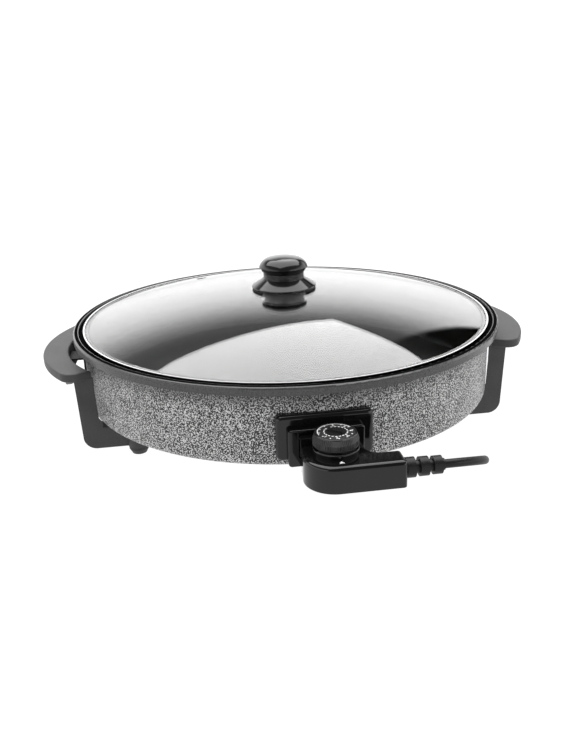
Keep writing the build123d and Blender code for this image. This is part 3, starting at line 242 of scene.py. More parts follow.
def on_coil(angle, radius, height):
    place = Vector((cos(radians(angle)), sin(radians(angle)), 0)) * radius
    return COIL_CENTRE + place + Vector((0, 0, height))


def cord_route():
    """Points of the whole cord, from inside its guard to inside its plug."""
    route = [Vector(point) for point in (
        (0.0720, -0.2500, 0.0505), (0.0820, -0.2500, 0.0505), (0.0965, -0.2500, 0.0505),
        (0.1137, -0.2430, 0.0467), (0.1246, -0.2292, 0.0394), (0.1254, -0.2081, 0.0281),
        (0.1144, -0.1873, 0.0170), (0.0945, -0.1726, 0.0091), (0.0560, -0.1624, 0.0037),
        (0.0300, -0.1500, 0.0037), (0.0180, -0.1180, 0.0037), (0.0240, -0.0660, 0.0037),
        (0.0440, -0.0080, 0.0037), (0.0620, 0.0520, 0.0037), (0.0760, 0.1160, 0.0037),
        (0.0850, 0.1840, 0.0037), (0.0845, 0.2200, 0.0037), (0.0840, 0.2400, 0.0037),
        (0.0840, 0.2520, 0.0037))]
    for angle in range(12, 318, 18):
        route.append(on_coil(angle, OUTER_TURN * POINTS_OUTSIDE, TABLE_LAYER))
    route += [Vector((0.0755, 0.2370, TABLE_LAYER)), Vector((0.0770, 0.2520, TABLE_LAYER))]
    for angle in range(12, 270, 18):
        route.append(on_coil(angle, INNER_TURN * POINTS_OUTSIDE, TABLE_LAYER))
    for angle in range(282, 442, 18):
        climb = eased(angle, 276, 330)
        radius = INNER_TURN + 0.0035 * climb
        lift = (PLUG_AXIS_Z - TOP_LAYER) * eased(angle, 405, 480)
        height = TABLE_LAYER + (TOP_LAYER - TABLE_LAYER) * climb + lift
        route.append(on_coil(angle, radius * POINTS_OUTSIDE, height))
    top = COIL_CENTRE.y + 0.0385
    route += [Vector((0.0420, top, 0.0150)), Vector((0.0320, top, 0.0175)),
              Vector((0.0240, top, PLUG_AXIS_Z)), Vector((0.0180, top, PLUG_AXIS_Z)),
              Vector((0.0100, top, PLUG_AXIS_Z))]
    return route


def smooth_line(points):
    """The points of a NURBS curve that runs along the given ones."""
    data = bpy.data.curves.new("cord_line", "CURVE")
    data.dimensions = "3D"
    data.resolution_u = 8
    spline = data.splines.new("NURBS")
    spline.points.add(len(points) - 1)
    for knot, point in zip(spline.points, points):
        knot.co = (*point, 1)
    spline.order_u = 3
    spline.use_endpoint_u = True
    holder = bpy.data.objects.new("cord_line", data)
    scene.collection.objects.link(holder)
    graph = bpy.context.evaluated_depsgraph_get()
    line = bpy.data.meshes.new_from_object(holder.evaluated_get(graph))
    found = [vertex.co.copy() for vertex in line.vertices]
    bpy.data.objects.remove(holder)
    bpy.data.meshes.remove(line)
    return found


cord_line = smooth_line(cord_route())
cord_length = sum((b - a).length for a, b in zip(cord_line, cord_line[1:]))
print("cord", round(cord_length, 3), "m along", len(cord_line), "points")

# %% [markdown]
# ## The cord's cover
# A tube is swept along that line by hand. A ring of points is carried forward and turned only as
# much as the line turns, so the cover never twists. Each ring also gets a place in a UV map: once
# round across, and metres along, which the finish uses for the fine lines of an extruded cover.

# %% Tube along a line
TUBE_SIDES = 16


def link_mesh(name, mesh):
    """Puts a mesh on an object of its own, at the origin, with smooth faces."""
    piece = bpy.data.objects.new(name, mesh)
    scene.collection.objects.link(piece)
    mesh.polygons.foreach_set("use_smooth", [True] * len(mesh.polygons))
    return piece


def tube(name, line, radius):
    mesh = bpy.data.meshes.new(name)
    form = bmesh.new()
    around = form.loops.layers.uv.new("cover")
    side = Vector((0, 0, 1))
    rings = []
    along = [0.0]
    for index, point in enumerate(line):
        ahead = (line[min(index + 1, len(line) - 1)] - line[max(index - 1, 0)]).normalized()
        side = (side - ahead * side.dot(ahead)).normalized()
        across = ahead.cross(side)
        ring = []
        for step in range(TUBE_SIDES):
            turn = 2 * pi * step / TUBE_SIDES
            ring.append(form.verts.new(point + (side * cos(turn) + across * sin(turn)) * radius))
        rings.append(ring)
        if index:
            along.append(along[-1] + (point - line[index - 1]).length)
    for row, (low, high) in enumerate(zip(rings, rings[1:])):
        for step in range(TUBE_SIDES):
            after = (step + 1) % TUBE_SIDES
            face = form.faces.new((low[step], low[after], high[after], high[step]))
            corners = ((step, row), (step + 1, row), (step + 1, row + 1), (step, row + 1))
            for loop, (turn, at) in zip(face.loops, corners):
                loop[around].uv = (turn / TUBE_SIDES, along[at])
    form.faces.new(rings[0][::-1])
    form.faces.new(rings[-1])
    form.to_mesh(mesh)
    form.free()
    return link_mesh(name, mesh)


cord = tube("cord", cord_line, CORD_RADIUS)
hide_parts("cord_tube", "cord_coil")
print("cord cover", len(cord.data.polygons), "faces")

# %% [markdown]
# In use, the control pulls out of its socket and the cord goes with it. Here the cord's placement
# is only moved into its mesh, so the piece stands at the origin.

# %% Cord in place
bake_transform(cord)

# %% [markdown]
# ## Screws with a crossed recess
# The frame's screws are plain turned pieces. Real ones have a domed head with a crossed recess. All
# of them drive upwards, so one shape graph can place the same screw at each. It reads its places
# from points and is meant to cut the recess once, before the copies are made. This has a known
# fault: the cut leaves nothing of the head, so each screw comes out as its shank alone.


# %% Shapes from graphs
class Shape(Graph):
    """A Geometry Nodes tree with named sizes. It ends in one finished mesh."""

    def __init__(self, name, sizes):
        super().__init__(bpy.data.node_groups.new(name, "GeometryNodeTree"))
        face = self.tree.interface
        face.new_socket("Geometry", in_out="INPUT", socket_type="NodeSocketGeometry")
        self.sizes = {}
        for size in sizes:
            socket = face.new_socket(size, in_out="INPUT", socket_type="NodeSocketFloat")
            self.sizes[size] = socket.identifier
        face.new_socket("Geometry", in_out="OUTPUT", socket_type="NodeSocketGeometry")
        self.entry = self.tree.nodes.new("NodeGroupInput")

    def size(self, name):
        return Wire(self, self.entry.outputs[name])

    def given(self):
        return Wire(self, self.entry.outputs[0])

    def vector(self, x=0.0, y=0.0, z=0.0):
        return self.add("ShaderNodeCombineXYZ", None, {0: x, 1: y, 2: z})

    def moved(self, geometry, offset):
        return self.add("GeometryNodeTransform", None,
                        {"Geometry": geometry, "Translation": offset})

    def joined(self, *parts):
        node = self.tree.nodes.new("GeometryNodeJoinGeometry")
        for part in parts:
            self.tree.links.new(part.socket, node.inputs[0])
        return Wire(self, node.outputs[0])

    def close(self, geometry, finish):
        real = self.add("GeometryNodeRealizeInstances", None, {0: geometry})
        coated = self.add("GeometryNodeSetMaterial", None, {"Geometry": real, "Material": finish})
        self.add("NodeGroupOutput", None, {0: coated})


def grown(name, shape, sizes, points=None):
    """Runs a shape on points and keeps the result as a plain mesh piece."""
    seed = bpy.data.meshes.new(name)
    seed.from_pydata(points or [(0, 0, 0)], [], [])
    holder = bpy.data.objects.new(name + "_seed", seed)
    scene.collection.objects.link(holder)
    modifier = holder.modifiers.new("shape", "NODES")
    modifier.node_group = shape.tree
    for size, value in sizes.items():
        modifier[shape.sizes[size]] = value
    graph = bpy.context.evaluated_depsgraph_get()
    mesh = bpy.data.meshes.new_from_object(holder.evaluated_get(graph))
    mesh.name = name
    holder.modifiers.remove(modifier)
    bpy.data.objects.remove(holder)
    piece = bpy.data.objects.new(name, mesh)
    scene.collection.objects.link(piece)
    return piece


# %% [markdown]
# Screws are plated with zinc, which dries to a fine bloom of lighter and duller spots. One noise
# drives both tone and gloss, because the paler spots are also the duller ones.

# %% Zinc on the screws
zinc_graph = new_finish("zinc_screws")
where = zinc_graph.place()[0]
bloom = zinc_graph.noise(where, 900, 3.0)
zinc = zinc_graph.surface(
    Base_Color=zinc_graph.ramp(bloom, (0.35, 0.42), (0.65, 0.58)),
    Roughness=zinc_graph.ramp(bloom, (0.3, 0.30), (0.7, 0.42)),
    Metallic=1.0, Normal=zinc_graph.bump(bloom, 0.0001, 0.2))

# %% [markdown]
# The head is a short cone for its rim and a steeper one for its crown, joined by a Boolean. Two
# crossed bars should be cut out of it from below. Here they are joined into one mesh that crosses
# itself, and the exact Boolean gives an empty mesh for it. Tried by themselves as two inputs of the
# Boolean, two such bars left the head whole around its recess. A plain cylinder makes the shank.

# %% The screw head's graph
SIDES_OF_HEAD = 20
screw = Shape("crossed_screw", ["Head radius", "Head height", "Shank radius", "Shank length"])
head_r, head_h = screw.size("Head radius"), screw.size("Head height")
rim_part = screw.add("GeometryNodeMeshCone", None, {
    "Vertices": SIDES_OF_HEAD, "Radius Top": head_r, "Radius Bottom": head_r * 0.9,
    "Depth": head_h * 0.45})
dome_part = screw.moved(rim_part, screw.vector(z=head_h * -0.45))
crown = screw.add("GeometryNodeMeshCone", None, {
    "Vertices": SIDES_OF_HEAD, "Radius Top": head_r * 0.9, "Radius Bottom": head_r * 0.55,
    "Depth": head_h * 0.55})
crown = screw.moved(crown, screw.vector(z=head_h * -1.0))
arm_x = screw.add("GeometryNodeMeshCube", None, {
    "Size": screw.vector(head_r * 0.95, head_r * 0.2, head_h * 1.1)})
arm_y = screw.add("GeometryNodeMeshCube", None, {
    "Size": screw.vector(head_r * 0.2, head_r * 0.95, head_h * 1.1)})
cross = screw.moved(screw.joined(arm_x, arm_y), screw.vector(z=head_h * -1.0))
solid = screw.add("GeometryNodeMeshBoolean", {"operation": "UNION", "solver": "EXACT"}, {})
boolean = solid.socket.node
for part in (dome_part, crown):
    screw.tree.links.new(part.socket, boolean.inputs["Mesh 2"])
cut = screw.add("GeometryNodeMeshBoolean", {"operation": "DIFFERENCE", "solver": "EXACT"},
                {"Mesh 1": solid, "Mesh 2": cross})
shank = screw.add("GeometryNodeMeshCylinder", None, {
    "Vertices": 16, "Radius": screw.size("Shank radius"), "Depth": screw.size("Shank length")})
shank = screw.moved(shank, screw.vector(z=screw.size("Shank length") * 0.5 - 0.0001))
placed = screw.add("GeometryNodeInstanceOnPoints", None, {
    "Points": screw.add("GeometryNodeMeshToPoints", None, {"Mesh": screw.given()}),
    "Instance": screw.joined(cut, shank)})
screw.close(placed, zinc)
print("screw graph with", len(screw.tree.nodes), "nodes")


# %% [markdown]
# The places need no list. Each screw node of the frame holds its own plain screws, so their middles,
# seats and widths are measured from its mesh and handed to the graph as points and sizes. The
# bracket screws stand nearer to each other than SCREW_ROOM, so they come out too thick and a few
# millimetres from their places.

# %% Every screw in the frame
SCREW_ROOM = 0.014
HEAD_EDGE = 0.98
SHANK_EDGE = 0.75


def head_spots(node):
    """For each screw: middle, head radius, lowest point, seat, highest point and shank radius."""
    corners = np.empty(len(nodes[node].data.vertices) * 3)
    nodes[node].data.vertices.foreach_get("co", corners)
    corners = corners.reshape(-1, 3)
    spots = []
    left = corners
    while len(left):
        near = np.hypot(*(left[:, :2] - left[0, :2]).T) < SCREW_ROOM
        mine = left[near]
        left = left[~near]
        middle = (mine[:, :2].min(axis=0) + mine[:, :2].max(axis=0)) / 2
        reach = np.hypot(*(mine[:, :2] - middle).T)
        wide = mine[reach > reach.max() * HEAD_EDGE]
        slim = mine[reach < reach.max() * SHANK_EDGE]
        spots.append((middle, reach.max(), mine[:, 2].min(), wide[:, 2].max(), mine[:, 2].max(),
                      np.hypot(*(slim[:, :2] - middle).T).max() if len(slim) else reach.max() / 2))
    return spots


BODY_OF = {node: body for body, names in frame["record"]["behaviour"]["bodies"].items()
           for node in names}
for node in sorted(name for name in nodes if name.endswith(("_screws", "_screw"))):
    spots = head_spots(node)
    radius, low, seat, top, shank_r = spots[0][1:]
    piece = grown(node.replace("screw", "crossed_screw"), screw, {
        "Head radius": float(radius), "Head height": float(max(seat - low, 0.0008)),
        "Shank radius": float(min(shank_r, radius * 0.6)), "Shank length": float(top - seat)},
        [(float(spot[0][0]), float(spot[0][1]), float(spot[3])) for spot in spots])
    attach(piece, BODY_OF[node])
    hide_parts(node)
    print(node, len(spots), "heads of", round(radius * 2000, 1), "mm")

# %% [markdown]
# ## The hammered pan
# Hammered enamel is a paint that pulls into small cells as it dries: pale cells with dark borders,
# and each cell bulges a little. Here one fine noise gives colour and height together, so the pale
# cells are also the high ones. A second, slower noise keeps the pattern from looking printed. The
# cells on the wall close under the rim are darkened as painted shade, for the rim's shadow. The rim
# is smoother and darker, and the inside has a black non-stick coat. The step that carries the lid
# and a band on the rim's top get a near-black colour with no shine, as painted shade for the dark
# gap round the lid.
# Masks on height and on distance from the middle tell these places apart on the one piece, and a
# Mix Shader lays the right coat on each.

# %% Hammered pan
RIM_FOOT = 0.0962
WALL_OUT = 0.1997
RIM_TOP = 0.1048
TOP_RADII = (0.2038, 0.2068)
STEP_RADII = (0.1960, 0.2032)
STEP_HEIGHTS = (0.1005, 0.1032)
INSIDE_R = 0.1977
INSIDE_FLOOR = 0.036
SHADE_START = 0.080
CELLS_PER_METRE = 1000
hammered = new_finish("hammered_pan")
where, x, y, z = hammered.place()
reach = (x * x + y * y) ** 0.5
on_rim = (z > RIM_FOOT) * (reach > WALL_OUT)
on_top = (z > RIM_TOP) * (reach > TOP_RADII[0]) * (reach < TOP_RADII[1])
on_step = ((reach < STEP_RADII[1]) * (reach > STEP_RADII[0])
           * (z > STEP_HEIGHTS[0]) * (z < STEP_HEIGHTS[1]))
inside = (reach < INSIDE_R) * (z > INSIDE_FLOOR)
cells = hammered.noise(where, CELLS_PER_METRE, 1.0, 0.45)
drift = hammered.noise(where, 60, 2.0, 0.5)
mixed = cells + (drift - 0.5) * 0.10
speckle = hammered.ramp(mixed, (0.47, 0.004), (0.52, 0.068), (0.56, 0.64))
# Painted shade: the wall's cells darken towards the rim's foot, for the rim's shadow on the wall.
painted_rim_shade = hammered.smooth(z, SHADE_START, RIM_FOOT)
speckle = hammered.blend(painted_rim_shade * 0.7, speckle, grey(0.02))
rim_tone = hammered.ramp(cells, (0.35, 0.030), (0.65, 0.055))
coat_tone = hammered.ramp(cells, (0.35, 0.008), (0.65, 0.014))
colour = hammered.blend(on_rim, speckle, rim_tone)
colour = hammered.blend(inside, colour, coat_tone)
# Painted shade: the rim's top band and the lid's step get a near-black colour, for the dark gap
# round the lid.
painted_gap_shade = hammered.add("ShaderNodeMath", {"operation": "MAXIMUM"}, {0: on_top, 1: on_step})
colour = hammered.blend(painted_gap_shade, colour, grey(0.004))
shine = hammered.ramp(cells, (0.3, 0.26), (0.7, 0.40))
relief = hammered.bump(mixed, 0.0009, 0.7)
smooth_relief = hammered.bump(mixed, 0.0003, 0.22)
wall_coat = hammered.add("ShaderNodeBsdfPrincipled", None, {
    "Base Color": colour, "Roughness": shine, "Normal": relief})
rim_coat = hammered.add("ShaderNodeBsdfPrincipled", None, {
    "Base Color": colour, "Roughness": shine * 0.6, "Normal": smooth_relief})
# The painted shade's coat has no specular, so that gap shows no reflection.
painted_gap_shade_coat = hammered.add("ShaderNodeBsdfPrincipled", None, {
    "Base Color": colour, "Roughness": shine + 0.3, "Specular IOR Level": 0.0})
inner_coat = hammered.add("ShaderNodeBsdfPrincipled", None, {
    "Base Color": colour, "Roughness": shine + 0.2, "Specular IOR Level": 0.2})
outer = hammered.add("ShaderNodeMixShader", None, {0: on_rim, 1: wall_coat, 2: rim_coat})
first = hammered.add("ShaderNodeMixShader", None, {0: inside, 1: outer, 2: inner_coat})
second = hammered.add("ShaderNodeMixShader", None, {0: painted_gap_shade, 1: first, 2: painted_gap_shade_coat})
hammered.add("ShaderNodeOutputMaterial", None, {"Surface": second})
print("hammered pan with", len(hammered.tree.nodes), "nodes")

# %% [markdown]
# ## Moulded plastics
# Grips and legs are a matt heat-proof moulding with a fine spark-eroded grain. The socket, control
# and knob come from polished moulds, with a grain too shallow to break a reflection, and the painted
# straps are slightly wavy. Grain is a bump of high scale and waviness one of low scale, so the same
# recipe gives them all with other numbers.


# %% Plastics
def moulding(name, tone, spread, gloss, grain, depth, wave=0.0, specular=0.5):
    """A moulded plastic: tone and its spread, roughness, grain and its depth, slow waviness."""
    plastic = new_finish(name)
    where = plastic.place()[0]
    fine = plastic.noise(where, grain, 2.0)
    slow = plastic.noise(where, 45, 1.0)
    low, high = tone - spread, tone + spread
    return plastic.surface(
        Base_Color=plastic.ramp(fine * 0.6 + slow * 0.4, (0.35, low), (0.65, high)),
        Roughness=plastic.ramp(fine, (0.3, gloss * 0.85), (0.7, gloss * 1.15)),
        Specular_IOR_Level=specular,
        Normal=plastic.bump(fine * (1 - wave) + slow * wave, depth, 0.5))


matt = moulding("matt_moulding", 0.037, 0.009, 0.50, 1400, 0.00012, 0.0, 0.4)
gloss = moulding("gloss_moulding", 0.004, 0.001, 0.09, 2200, 0.00001, 0.0, 0.4)
knob_black = moulding("knob_moulding", 0.008, 0.002, 0.11, 1800, 0.00001, 0.0, 0.4)
under_knob = moulding("knob_base_moulding", 0.34, 0.03, 0.42, 1500, 0.00008)
switch_black = moulding("switch_case", 0.03, 0.006, 0.5, 1200, 0.0001)
rubber = moulding("silicone_rubber", 0.020, 0.005, 0.62, 1700, 0.00008)
guard_black = moulding("cord_guard_black", 0.004, 0.001, 0.42, 1500, 0.00005, 0.0, 0.3)
strap_paint = moulding("strap_paint", 0.006, 0.002, 0.60, 900, 0.0001, 0.4)
steatite = moulding("steatite", 0.72, 0.05, 0.6, 1100, 0.0001)
print("nine mouldings mixed")

# %% [markdown]
# ## Metals
# The shield plate, the vent's eyelet and the dial's shaft are rolled steel, with fine lines that run
# round. Such lines come from a noise that reads little more than distance and height. Strips of
# brass, plated pins and the element's sheath have soft clouds of tarnish instead.


# %% Metals
def turned_steel(name, tone, gloss):
    steel = new_finish(name)
    where, x, y, z = steel.place()
    reach = (x * x + y * y) ** 0.5
    rings = steel.add("ShaderNodeCombineXYZ", None, {0: reach * 6.0, 1: z * 6.0, 2: x * 0.05})
    lines = steel.noise(rings, 700, 3.0, 0.6)
    cloud = steel.noise(where, 40, 2.0)
    return steel.surface(
        Base_Color=steel.ramp(lines * 0.5 + cloud * 0.5, (0.3, tone * 0.88), (0.7, tone * 1.1)),
        Roughness=steel.ramp(lines, (0.3, gloss * 0.7), (0.7, gloss * 1.3)),
        Metallic=1.0, Normal=steel.bump(lines, 0.00005, 0.15))


def tarnished(name, light_tone, dark_tone, gloss):
    metal = new_finish(name)
    where = metal.place()[0]
    cloud = metal.noise(where, 130, 4.0, 0.6)
    return metal.surface(
        Base_Color=metal.blend(metal.smooth(cloud, 0.35, 0.65), light_tone, dark_tone),
        Roughness=metal.ramp(cloud, (0.3, gloss * 0.8), (0.7, gloss * 1.3)),
        Metallic=1.0, Normal=metal.bump(cloud, 0.00008, 0.2))


steel = turned_steel("rolled_steel", 0.62, 0.24)
sheath = tarnished("element_sheath", grey(0.24), grey(0.12), 0.42)
brass = tarnished("brass_strip", (0.74, 0.52, 0.23, 1), (0.55, 0.37, 0.16, 1), 0.28)
nickel = tarnished("nickel_pins", grey(0.74), grey(0.6), 0.16)
print("four metals mixed")

# %% [markdown]
# The band round the glass is bright steel on its lip. The rest of it lies in the gap between glass
# and rim and is painted near black there as painted shade, so a mask on height and distance picks
# out the lip.

# %% The lid's band
BAND_LIP = (0.1973, 0.1053)
band_graph = new_finish("lid_band_steel")
where, x, y, z = band_graph.place()
reach = (x * x + y * y) ** 0.5
lip = (z > BAND_LIP[1]) * (reach > BAND_LIP[0])
lines = band_graph.noise(where, 300, 2.0)
bright = band_graph.ramp(lines, (0.3, 0.66), (0.7, 0.76))
# Painted shade: below its lip the band gets a near-black colour instead of bright steel.
band_steel = band_graph.surface(
    Base_Color=band_graph.blend(lip, grey(0.05), bright),
    Roughness=band_graph.ramp(lines, (0.3, 0.12), (0.7, 0.22)),
    Metallic=1.0, Normal=band_graph.bump(lines, 0.00005, 0.1))
print("the lid's band dressed with a polished lip")

# %% [markdown]
# ## Glass
# Toughened glass is clear and very smooth, yet pressing leaves it faintly wavy. That wave is only
# visible where it bends a reflection, so it is a shallow slow bump and nothing else.

# %% Lid glass
clear = new_finish("lid_glass")
where = clear.place()[0]
wave = clear.noise(where, 14, 1.0)
glass = clear.surface(
    Base_Color=clear.blend(wave, grey(1.0), grey(0.985)), Roughness=0.0, IOR=1.5,
    Transmission_Weight=1.0, Normal=clear.bump(wave, 0.0004, 0.12))
print("glass poured")

# %% [markdown]
# ## The cord's cover
# An extruded cover carries faint lines along its length. They follow the piece, so they read the
# cover's own UV map: many noise cells across for few along.

# %% Cord cover
skin = new_finish("cord_cover")
strip = skin.add("ShaderNodeUVMap", {"uv_map": "cover"})
stretch = skin.add("ShaderNodeVectorMath", {"operation": "MULTIPLY"}, {0: strip, 1: (30, 12, 1)})
draw_lines = skin.noise(stretch, 3, 2.0)
cover = skin.surface(
    Base_Color=skin.ramp(draw_lines, (0.3, 0.004), (0.7, 0.008)),
    Roughness=skin.ramp(draw_lines, (0.3, 0.34), (0.7, 0.46)), Specular_IOR_Level=0.25,
    Normal=skin.bump(draw_lines, 0.0001, 0.3))
cord.data.materials.append(cover)
print("cord dressed")

# %% [markdown]
# ## The dial
# The dial's side has ribs for the fingers. Its frame piece already carries sixty of them, and a bump
# of a slightly finer pitch breaks up their glints. A pattern that goes round an axis is simple in
# polar form, as a distance from the axis and a turn round it, so both dial finishes start there.

# %% Dial knob
DIAL_AT = (0.0030, -0.2302)
RIB_HALF_TURN = 2.5
SIDE_R = 0.0161
SIDE_TOP = 0.0755


def around_dial(finish):
    """Object coordinates, height, distance from the dial's axis and turn round it in degrees."""
    where, x, y, z = finish.place()
    dx, dy = x - DIAL_AT[0], y - DIAL_AT[1]
    span = (dx * dx + dy * dy) ** 0.5
    turn = finish.add("ShaderNodeMath", {"operation": "ARCTAN2"}, {0: dy, 1: dx}) * (180 / pi)
    return where, z, span, turn


def zigzag(finish, turn, half):
    """Rises from 0 to half and falls back, over and over, as the turn goes on."""
    return finish.add("ShaderNodeMath", {"operation": "PINGPONG"}, {0: turn + 360, 1: half})


ribbed = new_finish("ribbed_dial")
where, z, span, turn = around_dial(ribbed)
rib = zigzag(ribbed, turn, RIB_HALF_TURN)
on_side = (span > SIDE_R) * (z < SIDE_TOP)
grain = ribbed.noise(where, 1600, 2.0)
dial_black = ribbed.surface(
    Base_Color=ribbed.ramp(grain, (0.3, 0.006), (0.7, 0.010)),
    Roughness=ribbed.smooth(on_side, 0.0, 1.0) * 0.22 + 0.16,
    Normal=ribbed.bump(rib * 0.4 * on_side, 0.0005, 0.8))
print("dial knob ribbed")

# %% [markdown]
# The scale is printed in white on a black ring: an arc outside, ticks within it and a ring of dashes
# nearest the middle. Each mark is a window on distance multiplied by a window on turn.

# %% Dial print
ARC_RADII = (0.0136, 0.0142)
ARC_TURNS = (25, -165)
DASH_RADII = (0.0086, 0.0095)
TICK_RADII = (0.0122, 0.0135)


def ring(span, radii):
    """1 between two distances from the dial's axis."""
    return (span > radii[0]) * (span < radii[1])


printed = new_finish("scale_ring")
where, z, span, turn = around_dial(printed)
outer_arc = ring(span, ARC_RADII) * ((turn > ARC_TURNS[0]) + (turn < ARC_TURNS[1]))
inner_dash = ring(span, DASH_RADII) * (zigzag(printed, turn, 9.0) > 4.0)
ticks = ring(span, TICK_RADII) * (zigzag(printed, turn, 15.0) < 2.0)
marks = outer_arc + inner_dash + ticks
white = printed.add("ShaderNodeMath", {"operation": "MINIMUM"}, {0: marks, 1: 1.0})
grain = printed.noise(where, 1500, 2.0)
ring_print = printed.surface(
    Base_Color=printed.blend(white, printed.ramp(grain, (0.3, 0.008), (0.7, 0.014)), grey(0.75)),
    Roughness=printed.ramp(grain, (0.3, 0.28), (0.7, 0.4)),
    Normal=printed.bump(grain, 0.00003, 0.2))
print("scale printed")

# %% [markdown]
# Numbers tell the heat settings. They are cut from a plain font, turned to face outwards and laid on
# the ring as a skin of a tenth of a millimetre. A shader can't write, so they are small meshes.

# %% Dial numbers
NUMBER_R = 0.0114
NUMBER_SIZE = 0.0042
FACE_TOP = 0.0763
FIRST_NUMBER = -142
NUMBER_STEP = 46
ink = moulding("white_ink", 0.75, 0.02, 0.45, 1500, 0.00001)
glyphs = bmesh.new()
for index, number in enumerate(("1", "2", "3", "4", "5", "6")):
    text = bpy.data.curves.new("number", "FONT")
    text.body = number
    text.size = NUMBER_SIZE
    text.extrude = 0.00005
    text.resolution_u = 2
    text.align_x = text.align_y = "CENTER"
    holder = bpy.data.objects.new("number", text)
    scene.collection.objects.link(holder)
    cut_out = bpy.data.meshes.new_from_object(
        holder.evaluated_get(bpy.context.evaluated_depsgraph_get()))
    angle = radians(FIRST_NUMBER + index * NUMBER_STEP)
    spot = Vector((DIAL_AT[0] + NUMBER_R * cos(angle),
                   DIAL_AT[1] + NUMBER_R * sin(angle), FACE_TOP))
    cut_out.transform(Matrix.Translation(spot) @ Matrix.Rotation(angle - pi / 2, 4, "Z"))
    glyphs.from_mesh(cut_out)
    bpy.data.objects.remove(holder)
bmesh.ops.remove_doubles(glyphs, verts=glyphs.verts, dist=1e-6)
bmesh.ops.recalc_face_normals(glyphs, faces=glyphs.faces)
number_mesh = bpy.data.meshes.new("dial_numbers")
glyphs.to_mesh(number_mesh)
glyphs.free()
dial_numbers = bpy.data.objects.new("dial_numbers", number_mesh)
scene.collection.objects.link(dial_numbers)
number_mesh.materials.append(ink)
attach(dial_numbers, "dial")
print("dial numbers", len(number_mesh.polygons), "faces")

# %% [markdown]
# A white triangle on the control's case points at the setting. It stays with the case when the dial
# turns, so it rides on the control's body and not on the dial's.

# %% Pointer in front of the dial
POINTER_CORNERS = [(0.0008, -0.2538), (0.0048, -0.2538), (0.0028, -0.2504)]
POINTER_UNDER, POINTER_TOP = 0.0609, 0.0612
pointer_mesh = bpy.data.meshes.new("dial_pointer")
pointer_mesh.from_pydata(
    [(*corner, level) for level in (POINTER_UNDER, POINTER_TOP) for corner in POINTER_CORNERS], [],
    [(2, 1, 0), (3, 4, 5), (0, 1, 4, 3), (1, 2, 5, 4), (2, 0, 3, 5)])
pointer = bpy.data.objects.new("dial_pointer", pointer_mesh)
scene.collection.objects.link(pointer)
pointer_mesh.materials.append(ink)
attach(pointer, "control")
print("pointer set in front of the dial")

# %% [markdown]
# ## Dressing the pieces
# One table says which finish goes on which piece of the frame. Left and right, front and rear pieces
# come from the same mould, so they are filled in by loops.

# %% Dressing the pieces
SIDES = ("left", "right")
CORNERS = ("front_left", "front_right", "rear_left", "rear_right")
DRESS = {
    "pan_vessel": hammered.owner,
    "heating_element": sheath,
    "terminal_straps": brass,
    "base_shield": steel,
    "terminal_block": steatite,
    "contact_pins": nickel,
    "earth_contact": brass,
    "mains_plug": guard_black,
    "plug_pins": nickel,
    "plug_earth_contacts": nickel,
    "lid_glass": glass,
    "lid_band": band_steel,
    "vent_eyelet": steel,
    "contact_sleeves": brass,
    "probe_rod": nickel,
    "earth_strip": brass,
    "switch_block": switch_black,
    "strain_relief": guard_black,
    "dial_face": ring_print,
    "dial_shaft": steel,
    "knob_base": under_knob,
    "dial_knob": dial_black,
}
DRESS.update({f"handle_grip_{side}": matt for side in SIDES})
DRESS.update({f"handle_bracket_{side}": strap_paint for side in SIDES})
DRESS.update({f"leg_{corner}": matt for corner in CORNERS})
DRESS.update({f"foot_{corner}": rubber for corner in CORNERS})
DRESS.update(dict.fromkeys(("knob_gasket", "base_gasket"), rubber))
DRESS.update(dict.fromkeys(("knob_skirt", "knob_cap"), knob_black))
DRESS.update(dict.fromkeys(
    ("socket_housing", "control_lower_shell", "control_upper_shell"), gloss))
for name, finish in DRESS.items():
    nodes[name].data.materials.clear()
    nodes[name].data.materials.append(finish)
print("dressed", len(DRESS), "of", len(nodes), "pieces")

# %% [markdown]
# ## Table and light
# Glossy black and clear glass show the room more than themselves, so the room is what gets
# designed. A large soft box hangs over the object. Behind it stands a tall white backdrop that ends
# in a soft edge. The side of the room behind the camera stays dim but for two low panels. A bare
# look past the table meets plain white on every side, so only gloss and glass show the dim part.
# A slanted dark strip on the right of the backdrop gives the glass a dark patch to show.

# %% Table
TABLE_GLOW = 0.985
table_finish = new_finish("pale_table")
table_finish.surface(Base_Color=grey(0.05), Roughness=0.9, Emission_Color=grey(1),
                     Emission_Strength=TABLE_GLOW)
table_mesh = bpy.data.meshes.new("table")
table_mesh.from_pydata([(-6, -4, 0), (6, -4, 0), (6, 12, 0), (-6, 12, 0)], [], [(0, 1, 2, 3)])
table = link_mesh("table", table_mesh)
table.data.materials.append(table_finish.owner)
print("table laid")

# %% Room
AWAY = (0.141, 0.990)
BACKDROP = 2.1
LEFT_PANEL = 1.6
RIGHT_PANEL = 2.4
BARE_LOOK = 1.4
room = bpy.data.worlds.new("studio_room")
scene.world = room
air = Finish(room)
direction = air.add("ShaderNodeTexCoord")
apart = air.add("ShaderNodeSeparateXYZ", sockets={0: direction}).socket.node.outputs
across, ahead, height = (Wire(air, socket) for socket in apart)
backdrop = air.ramp(height, (0.0, 0.63), (0.08, 0.77), (0.19, 0.86), (0.31, 0.89), (0.38, 0.78),
                    (0.44, 0.55), (0.49, 0.33), (0.535, 0.15), (0.58, 0.10),
                    (1.0, 0.1)) * BACKDROP
dim = air.ramp(height, (0.0, 0.22), (0.5, 0.15), (1.0, 0.1))
flat = (1 - height * height) ** 0.5
side = (across * AWAY[1] - ahead * AWAY[0]) / flat
low_band = air.ramp(height, (0.0, 0.6), (0.06, 1.0), (0.36, 1.0), (0.52, 0.0))
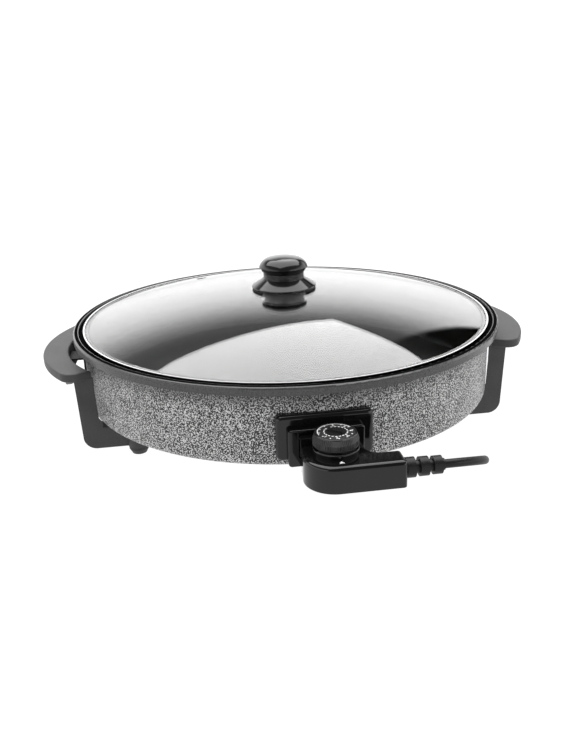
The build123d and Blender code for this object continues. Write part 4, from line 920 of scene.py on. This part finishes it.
left_panel = air.smooth(0 - side, 0.36, 0.52) * low_band * LEFT_PANEL
right_panel = air.smooth(side, 0.42, 0.58) * low_band * RIGHT_PANEL
slant = side + (height - 0.35) * 0.37
strip = air.smooth(slant, 0.385, 0.405) * air.smooth(0 - slant, -0.62, -0.54)
backdrop = backdrop * (1 - strip * air.smooth(ahead, 0.0, 0.1))
behind = air.smooth(ahead, -0.75, -0.2)
near_side = dim + left_panel + right_panel
light = behind * backdrop + (1 - behind) * near_side
seen = air.add("ShaderNodeLightPath")
light = light * (1 - seen) + seen * BARE_LOOK
glow = air.add("ShaderNodeBackground", None, {"Color": grey(1), "Strength": light})
air.add("ShaderNodeOutputWorld", None, {"Surface": glow})
print("room lit from behind and from two panels beside the camera")

# %% [markdown]
# The soft box is an area lamp above the object. It shows in the glass as a pale sheet with one clear
# corner, so it is placed by that corner and by the direction of its two sides.

# %% Soft box
BOX_GLOW = 3.9
BOX_CORNER = Vector((0.56, 1.84, 1.33))
BOX_ALONG = Vector((-0.89, -0.455, 0)).normalized()
BOX_ACROSS = Vector((0.455, -0.89, 0)).normalized()
BOX_SIZE = (2.2, 2.0)
box_data = bpy.data.lights.new("soft_box", "AREA")
box_data.shape = "RECTANGLE"
box_data.size, box_data.size_y = BOX_SIZE
box_data.energy = BOX_GLOW * pi * BOX_SIZE[0] * BOX_SIZE[1]
soft_box = bpy.data.objects.new("soft_box", box_data)
centre = BOX_CORNER + BOX_ALONG * BOX_SIZE[0] / 2 + BOX_ACROSS * BOX_SIZE[1] / 2
axes = Matrix((BOX_ALONG, BOX_ACROSS, BOX_ALONG.cross(BOX_ACROSS))).transposed()
soft_box.matrix_world = Matrix.Translation(centre) @ axes.to_4x4()
scene.collection.objects.link(soft_box)
scene.view_settings.view_transform = "Standard"
print("soft box at", [round(value, 2) for value in centre])

# %% [markdown]
# ## Closing
# Last, the view layer is brought up to date.

# %% Closing
bpy.context.view_layer.update()
